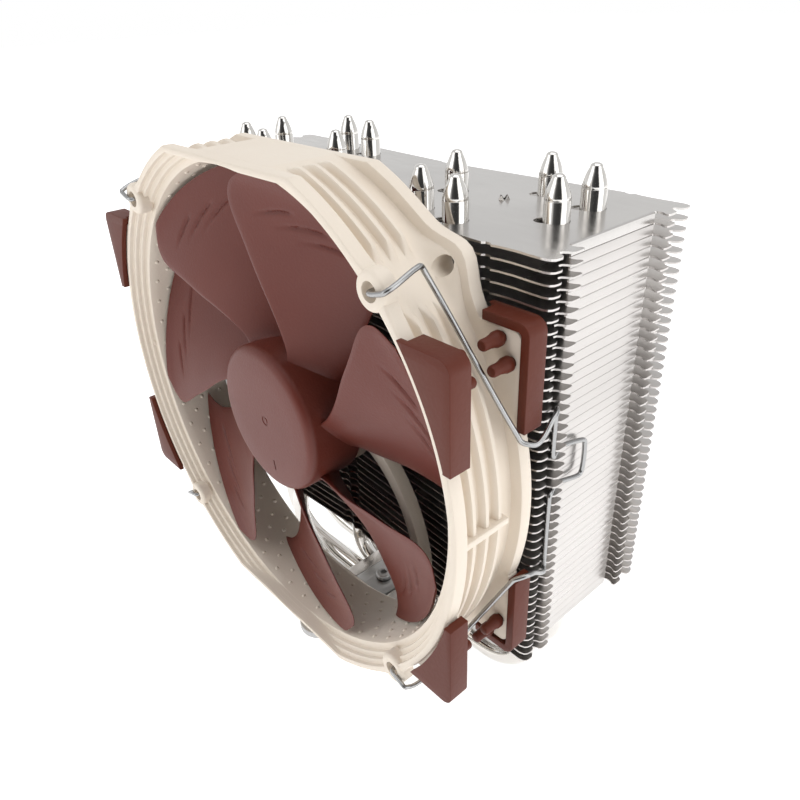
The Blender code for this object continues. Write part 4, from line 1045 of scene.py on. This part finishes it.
def makeBlade():
    body = bmesh.new()
    low, high = blade["sections"][0][0], blade["tip"]
    across, along = blade["across"], blade["along"]
    sheets = []
    for face in (-1, 1):
        grid = []
        for i in range(along + 1):
            radius = low + (high - low) * i / along
            lead, trail, leadDepth, trailDepth = bladeSection(radius)
            root = 1.0 + 1.6 * exp(-(radius - hub["radius"]) / 1.6)
            line = []
            for j in range(across + 1):
                part = j / across
                angle = radians(blade["first"] + lead + (trail - lead) * part)
                depth = leadDepth + (trailDepth - leadDepth) * (0.78 * part + 0.22 * part ** 2)
                edge = max(1 - abs(2 * part - 1) ** 14, 0.0) ** 0.5 * 0.8 + 0.2
                lift = 0.5 * blade["thick"] * edge * root * (1.0 - 0.25 * (radius - low) / (high - low))
                dip = grooveDip(radius, part) if face < 0 else 0.0
                line.append(body.verts.new((radius * cos(angle), depth + face * lift + dip, radius * sin(angle))))
            grid.append(line)
        sheets.append(grid)
    front, back = sheets
    for i in range(along):
        for j in range(across):
            body.faces.new((front[i][j], front[i][j + 1], front[i + 1][j + 1], front[i + 1][j]))
            body.faces.new((back[i][j], back[i + 1][j], back[i + 1][j + 1], back[i][j + 1]))
        for j in (0, across):
            body.faces.new((front[i][j], front[i + 1][j], back[i + 1][j], back[i][j]))
    for j in range(across):
        for i in (0, along):
            body.faces.new((front[i][j], back[i][j], back[i][j + 1], front[i][j + 1]))
    return shape("impellerBlades", body)


def makeImpeller():
    radius, face, rear, edge = hub["radius"], hub["face"], hub["rear"], hub["edge"]
    mark = hub["markRadius"]
    inside = radius - hub["wall"]
    profile = [(0, face + 0.04), (mark - 0.5, face + 0.04), (mark - 0.35, face + 0.22), (mark, face + 0.22),
               (mark + 0.15, face + 0.02), (radius * 0.6, face), (radius - edge * 1.15, face + 0.04)]
    profile += [(radius - edge + edge * sin(radians(turn)), face + edge - (edge - 0.1) * cos(radians(turn)))
                for turn in (12, 25, 38, 52, 65, 78, 90)]
    profile += [(radius, rear - 0.4), (radius - 0.4, rear), (inside, rear), (inside, face + 2.0), (0, face + 2.0)]
    made = shaped("impellerHub", (addTurned, (profile, 96, "Y")))
    line = shaped("line", (addBox, ((-0.25, face - 1, -15.6), (0.25, face + 0.22, -12.4))))
    line.data.transform(Matrix.Rotation(radians(-8), 4, "Y"))
    combine(made, "DIFFERENCE", line)
    blades = makeBlade()
    turnRound.run(blades, {"Count": blade["count"], "Material": brownPlastic})
    join(made, blades)
    made.name = "impellerWhole"
    place(made, "rotor", "brown_plastic", brownPlastic, ["impeller"], 40, fanPlace)


makeImpeller()
print("impeller made")


# corner pads

pad = {"proud": 1.2, "outer": 75.0, "top": 45.5, "low": 20.8, "wall": 2.2, "skirt": 4.4, "inner": 75.9, "corner": 3.0,
       "edge": 0.45, "pegLong": 6.2, "neck": 1.1, "bulb": 1.75, "bulbStart": 4.2, "tail": 1.3}


def padOutline():
    low, high = asin(pad["low"] / pad["inner"]), asin(pad["top"] / pad["inner"])
    corner = pad["corner"]
    return (list(reversed(arc((0, 0), pad["inner"], low, high, 16))) + [(pad["outer"], pad["low"])]
            + arc((pad["outer"] - corner, pad["top"] - corner), corner, 0, pi / 2, 8))


def skirtOutline():
    corner, outer, top, wall = pad["corner"], pad["outer"], pad["top"], pad["wall"]
    centre = (outer - corner, top - corner)
    topX = pad["inner"] * cos(asin((top - wall) / pad["inner"])) + 0.2
    return ([(outer, pad["low"])] + arc(centre, corner, 0, pi / 2, 8) + [(topX, top), (topX, top - wall)]
            + arc(centre, corner - wall, pi / 2, 0, 4) + [(outer - wall, pad["low"])])


def makePad(name, signX, signZ, rear):
    made = shaped(name, (addPrism, (padOutline(), "Y", -pad["proud"], 0.3)))
    combine(made, "UNION", shaped("skirt", (addPrism, (skirtOutline(), "Y", -pad["proud"], pad["skirt"]))))
    bevel(made, pad["edge"], 3, 50)
    start, bulb, end = -0.2, pad["bulbStart"], hoop["rimDeep"] + pad["pegLong"]
    neck, fat, tail = pad["neck"], pad["bulb"], pad["tail"]
    profile = [(0, start), (neck, start), (neck, bulb - 0.05), (fat - 0.3, bulb), (fat, bulb + 0.4), (fat, bulb + 1.7),
               (fat - 0.25, bulb + 2.3), (tail + 0.1, bulb + 3.0), (tail, bulb + 3.4), (tail, end - 0.5),
               (tail - 0.2, end - 0.12), (tail - 0.5, end), (0, end)]
    for x, z in hoop["pegs"]:
        combine(made, "UNION", shaped("peg", (addTurned, (profile, 24, "Y", (x, z)))))
    body = bmesh.new()
    body.from_mesh(made.data)
    for point in body.verts:
        x, y, z = point.co
        point.co = (x * signX, hoop["deep"] - y if rear else y, z * signZ)
    bmesh.ops.recalc_face_normals(body, faces=body.faces)
    body.to_mesh(made.data)
    body.free()
    return made


def makePads():
    for rear, face in ((False, "front"), (True, "rear")):
        for signZ, level in ((1, "upper"), (-1, "lower")):
            for signX, side in ((1, "right"), (-1, "left")):
                node = "pad_%s_%s_%s" % (face, level, side)
                made = makePad("rubber_" + node, signX, signZ, rear)
                place(made, bodyOfStack, "brown_rubber", brownRubber, [node], 40, fanPlace)


makePads()
print("pads made")


# wire clips

wire = {"radius": 0.6, "pin": 2.8, "proud": -0.9, "ear": 58.1, "bendX": 74.5, "bendY": 20.0, "bendZ": 18.7,
        "hookZ": 22.5, "grooveX": 74.3, "groove": 32.1, "loopTop": 9.2, "loopLow": -1.1, "loopDrop": 1.8,
        "reach": 14.6, "nearX": 72.4, "farX": 72.9, "sides": 14}


def clipHalf():
    hole, proud, ear, bend = hoop["holeHalf"], wire["proud"], wire["ear"], wire["bendX"]
    front, level, hook, groove = wire["bendY"], wire["bendZ"], wire["hookZ"], wire["groove"]
    points = ((hole, wire["pin"], hole), (hole, 0.6, hole), (hole + 0.5, proud + 0.3, hole),
              (hole + 2.2, proud, hole + 0.3), (ear, proud + 0.2, hole + 1.6), (ear - 0.2, 7.8, hole + 4.2),
              (ear - 0.5, 9.2, hole + 3.4), (bend, front, level + 1.0), (bend + 1.3, front + 1.3, level),
              (bend + 2.13, front + 3.0, level - 0.3), (bend + 2.0, front + 5.6, level + 0.7),
              (bend + 1.6, groove - 3.8, hook - 1.0), (wire["grooveX"] + 1.5, groove - 1.9, hook - 0.1),
              (wire["grooveX"] + 0.3, groove - 0.3, hook), (wire["grooveX"], groove, hook - 1.2))
    return [Vector(point) for point in points]


def fingerLoop():
    half = []
    for end, sign in ((wire["loopTop"], 1), (wire["loopLow"], -1)):
        far = end - wire["loopDrop"]
        leg = ((wire["grooveX"], 0.0, end + sign * 0.8), (wire["grooveX"] - 0.2, 0.8, end),
               (wire["nearX"] + 0.8, 3.0, end), (wire["nearX"], 5.2, end - wire["loopDrop"] * 0.1),
               (wire["farX"], wire["reach"] - 1.2, far), (wire["farX"], wire["reach"], far - sign * 1.2))
        points = [Vector((x, wire["groove"] + along, z)) for x, along, z in leg]
        half += points if sign > 0 else reversed(points)
    return half


def makeClips():
    upper = clipHalf()
    lower = [Vector((point.x, point.y, -point.z)) for point in reversed(upper)]
    for side, name in ((1, "right"), (-1, "left")):
        points = [Vector((side * point.x, point.y, point.z)) for point in upper + fingerLoop() + lower]
        path = [Vector((point.x, max(point.y, wire["proud"]), point.z)) for point in smoothPath(points, 6)]
        body = bmesh.new()
        addTube(body, path, [wire["radius"]] * len(path), wire["sides"])
        made = shape("wireClip_" + name, body)
        place(made, "clip_" + name, "spring_steel", wireSteel, ["wire_clip_" + name], 60, fanPlace)


makeClips()
print("wire clips made")


# what stays as the frame has it, inside the motor

kept = {"bearing_sleeve": brassMetal, "stator_core": screwSteel, "circuit_board": greenBoard,
        "rotor_shaft": pipeNickel, "rotor_yoke": screwSteel, "magnet_ring": magnetFinish, "shaft_clip": wireSteel}
for number in range(1, 5):
    kept["stator_coil_%d" % number] = copperWinding
for nodeName, material in kept.items():
    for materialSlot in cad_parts[nodeName].material_slots:
        materialSlot.material = material


# floor, light and camera

floor = {"half": 4000, "thick": 12, "below": 0.05, "glow": 0.60}
# how bright the studio is round the side behind the camera, and from the horizon up
studio = {"darkSide": (0.74, -0.64, 0.22),
          "round": ((0.0, (1, 1, 1)), (0.62, (0.95, 0.95, 0.95)), (0.80, (0.12, 0.12, 0.12)),
                    (1.0, (0.05, 0.05, 0.05))),
          "up": ((0.0, (1, 1, 1)), (0.04, (0.95, 0.95, 0.95)), (0.30, (0.82, 0.82, 0.82)), (1.0, (0.72, 0.72, 0.73)))}
camera = {"place": (0.153672, -0.133254, 0.200951), "right": (0.66831, 0.74298, -0.0367),
          "down": (0.34957, -0.35722, -0.86614), "ahead": (-0.65663, 0.56602, -0.49845), "lens": 32.57}
lights = {"top": {"at": (0.15, 0.05, 0.95), "to": (0, 0, 0.08), "size": (0.9, 0.9), "power": 3.0},
          "right": {"at": (1.0, 0.1, 0.42), "to": (0, 0, 0.09), "size": (0.8, 0.8), "power": 3.0},
          "front": {"at": (-0.45, -1.0, 0.55), "to": (0, 0, 0.09), "size": (0.8, 0.8), "power": 2.2}}


def makeStage():
    ground = shaped("floor", (addBox, ((-floor["half"], -floor["half"], -floor["thick"]),
                                        (floor["half"], floor["half"], -floor["below"]))))
    ground.data.transform(Matrix.Scale(millimetre, 4))
    finish = Finish("floorPaper", (0.94, 0.94, 0.94), Roughness=0.9)
    grain = finish.noise(220, 3)
    finish.set("Base Color", finish.blend(grain, (0.93, 0.93, 0.93), (0.95, 0.95, 0.95)))
    finish.set("Emission Color", (1, 1, 1, 1))
    finish.set("Emission Strength", floor["glow"])
    ground.data.materials.append(finish.material)
    for name, facts in lights.items():
        lamp = bpy.data.lights.new(name + "Light", "AREA")
        lamp.shape = "RECTANGLE"
        lamp.size, lamp.size_y = facts["size"]
        lamp.energy = facts["power"]
        holder = bpy.data.objects.new(name + "Light", lamp)
        holder.location = facts["at"]
        aim = Vector(facts["to"]) - Vector(facts["at"])
        holder.rotation_euler = aim.to_track_quat("-Z", "Y").to_euler()
        bpy.context.scene.collection.objects.link(holder)
    world = bpy.data.worlds.new("studio")
    world.use_nodes = True
    graph = Graph(world.node_tree)
    direction = graph.add("ShaderNodeTexCoord").outputs["Generated"]
    height = graph.add("ShaderNodeSeparateXYZ", None, {0: direction}).outputs[2]
    toDark = Vector(studio["darkSide"]).normalized()
    facing = graph.add("ShaderNodeVectorMath", {"operation": "DOT_PRODUCT"}, {0: direction, 1: toDark}).outputs[1]
    walls = graph.add("ShaderNodeValToRGB", {"stops": studio["round"]}, {0: facing})
    sky = graph.add("ShaderNodeValToRGB", {"stops": studio["up"]}, {0: height})
    both = graph.add("ShaderNodeMix", {"data_type": "RGBA", "blend_type": "MULTIPLY"},
                     {0: 1.0, 6: sky.outputs[0], 7: walls.outputs[0]})
    graph.feed(world.node_tree.nodes["Background"].inputs["Color"], both.outputs[2])
    world.node_tree.nodes["Background"].inputs["Strength"].default_value = 1.0
    bpy.context.scene.world = world


def makeCamera():
    lens = bpy.data.cameras.new("view")
    lens.lens = camera["lens"]
    lens.sensor_width = 36
    lens.clip_start = 0.01
    holder = bpy.data.objects.new("view", lens)
    right, down, ahead = (Vector(camera[key]).normalized() for key in ("right", "down", "ahead"))
    turn = Matrix((right, -down, -ahead)).transposed().to_4x4()
    holder.matrix_world = Matrix.Translation(Vector(camera["place"])) @ turn
    bpy.context.scene.collection.objects.link(holder)
    bpy.context.scene.camera = holder


makeStage()
makeCamera()
bpy.context.scene.view_settings.view_transform = "Standard"
bpy.context.scene.view_settings.look = "None"
print("stage made")
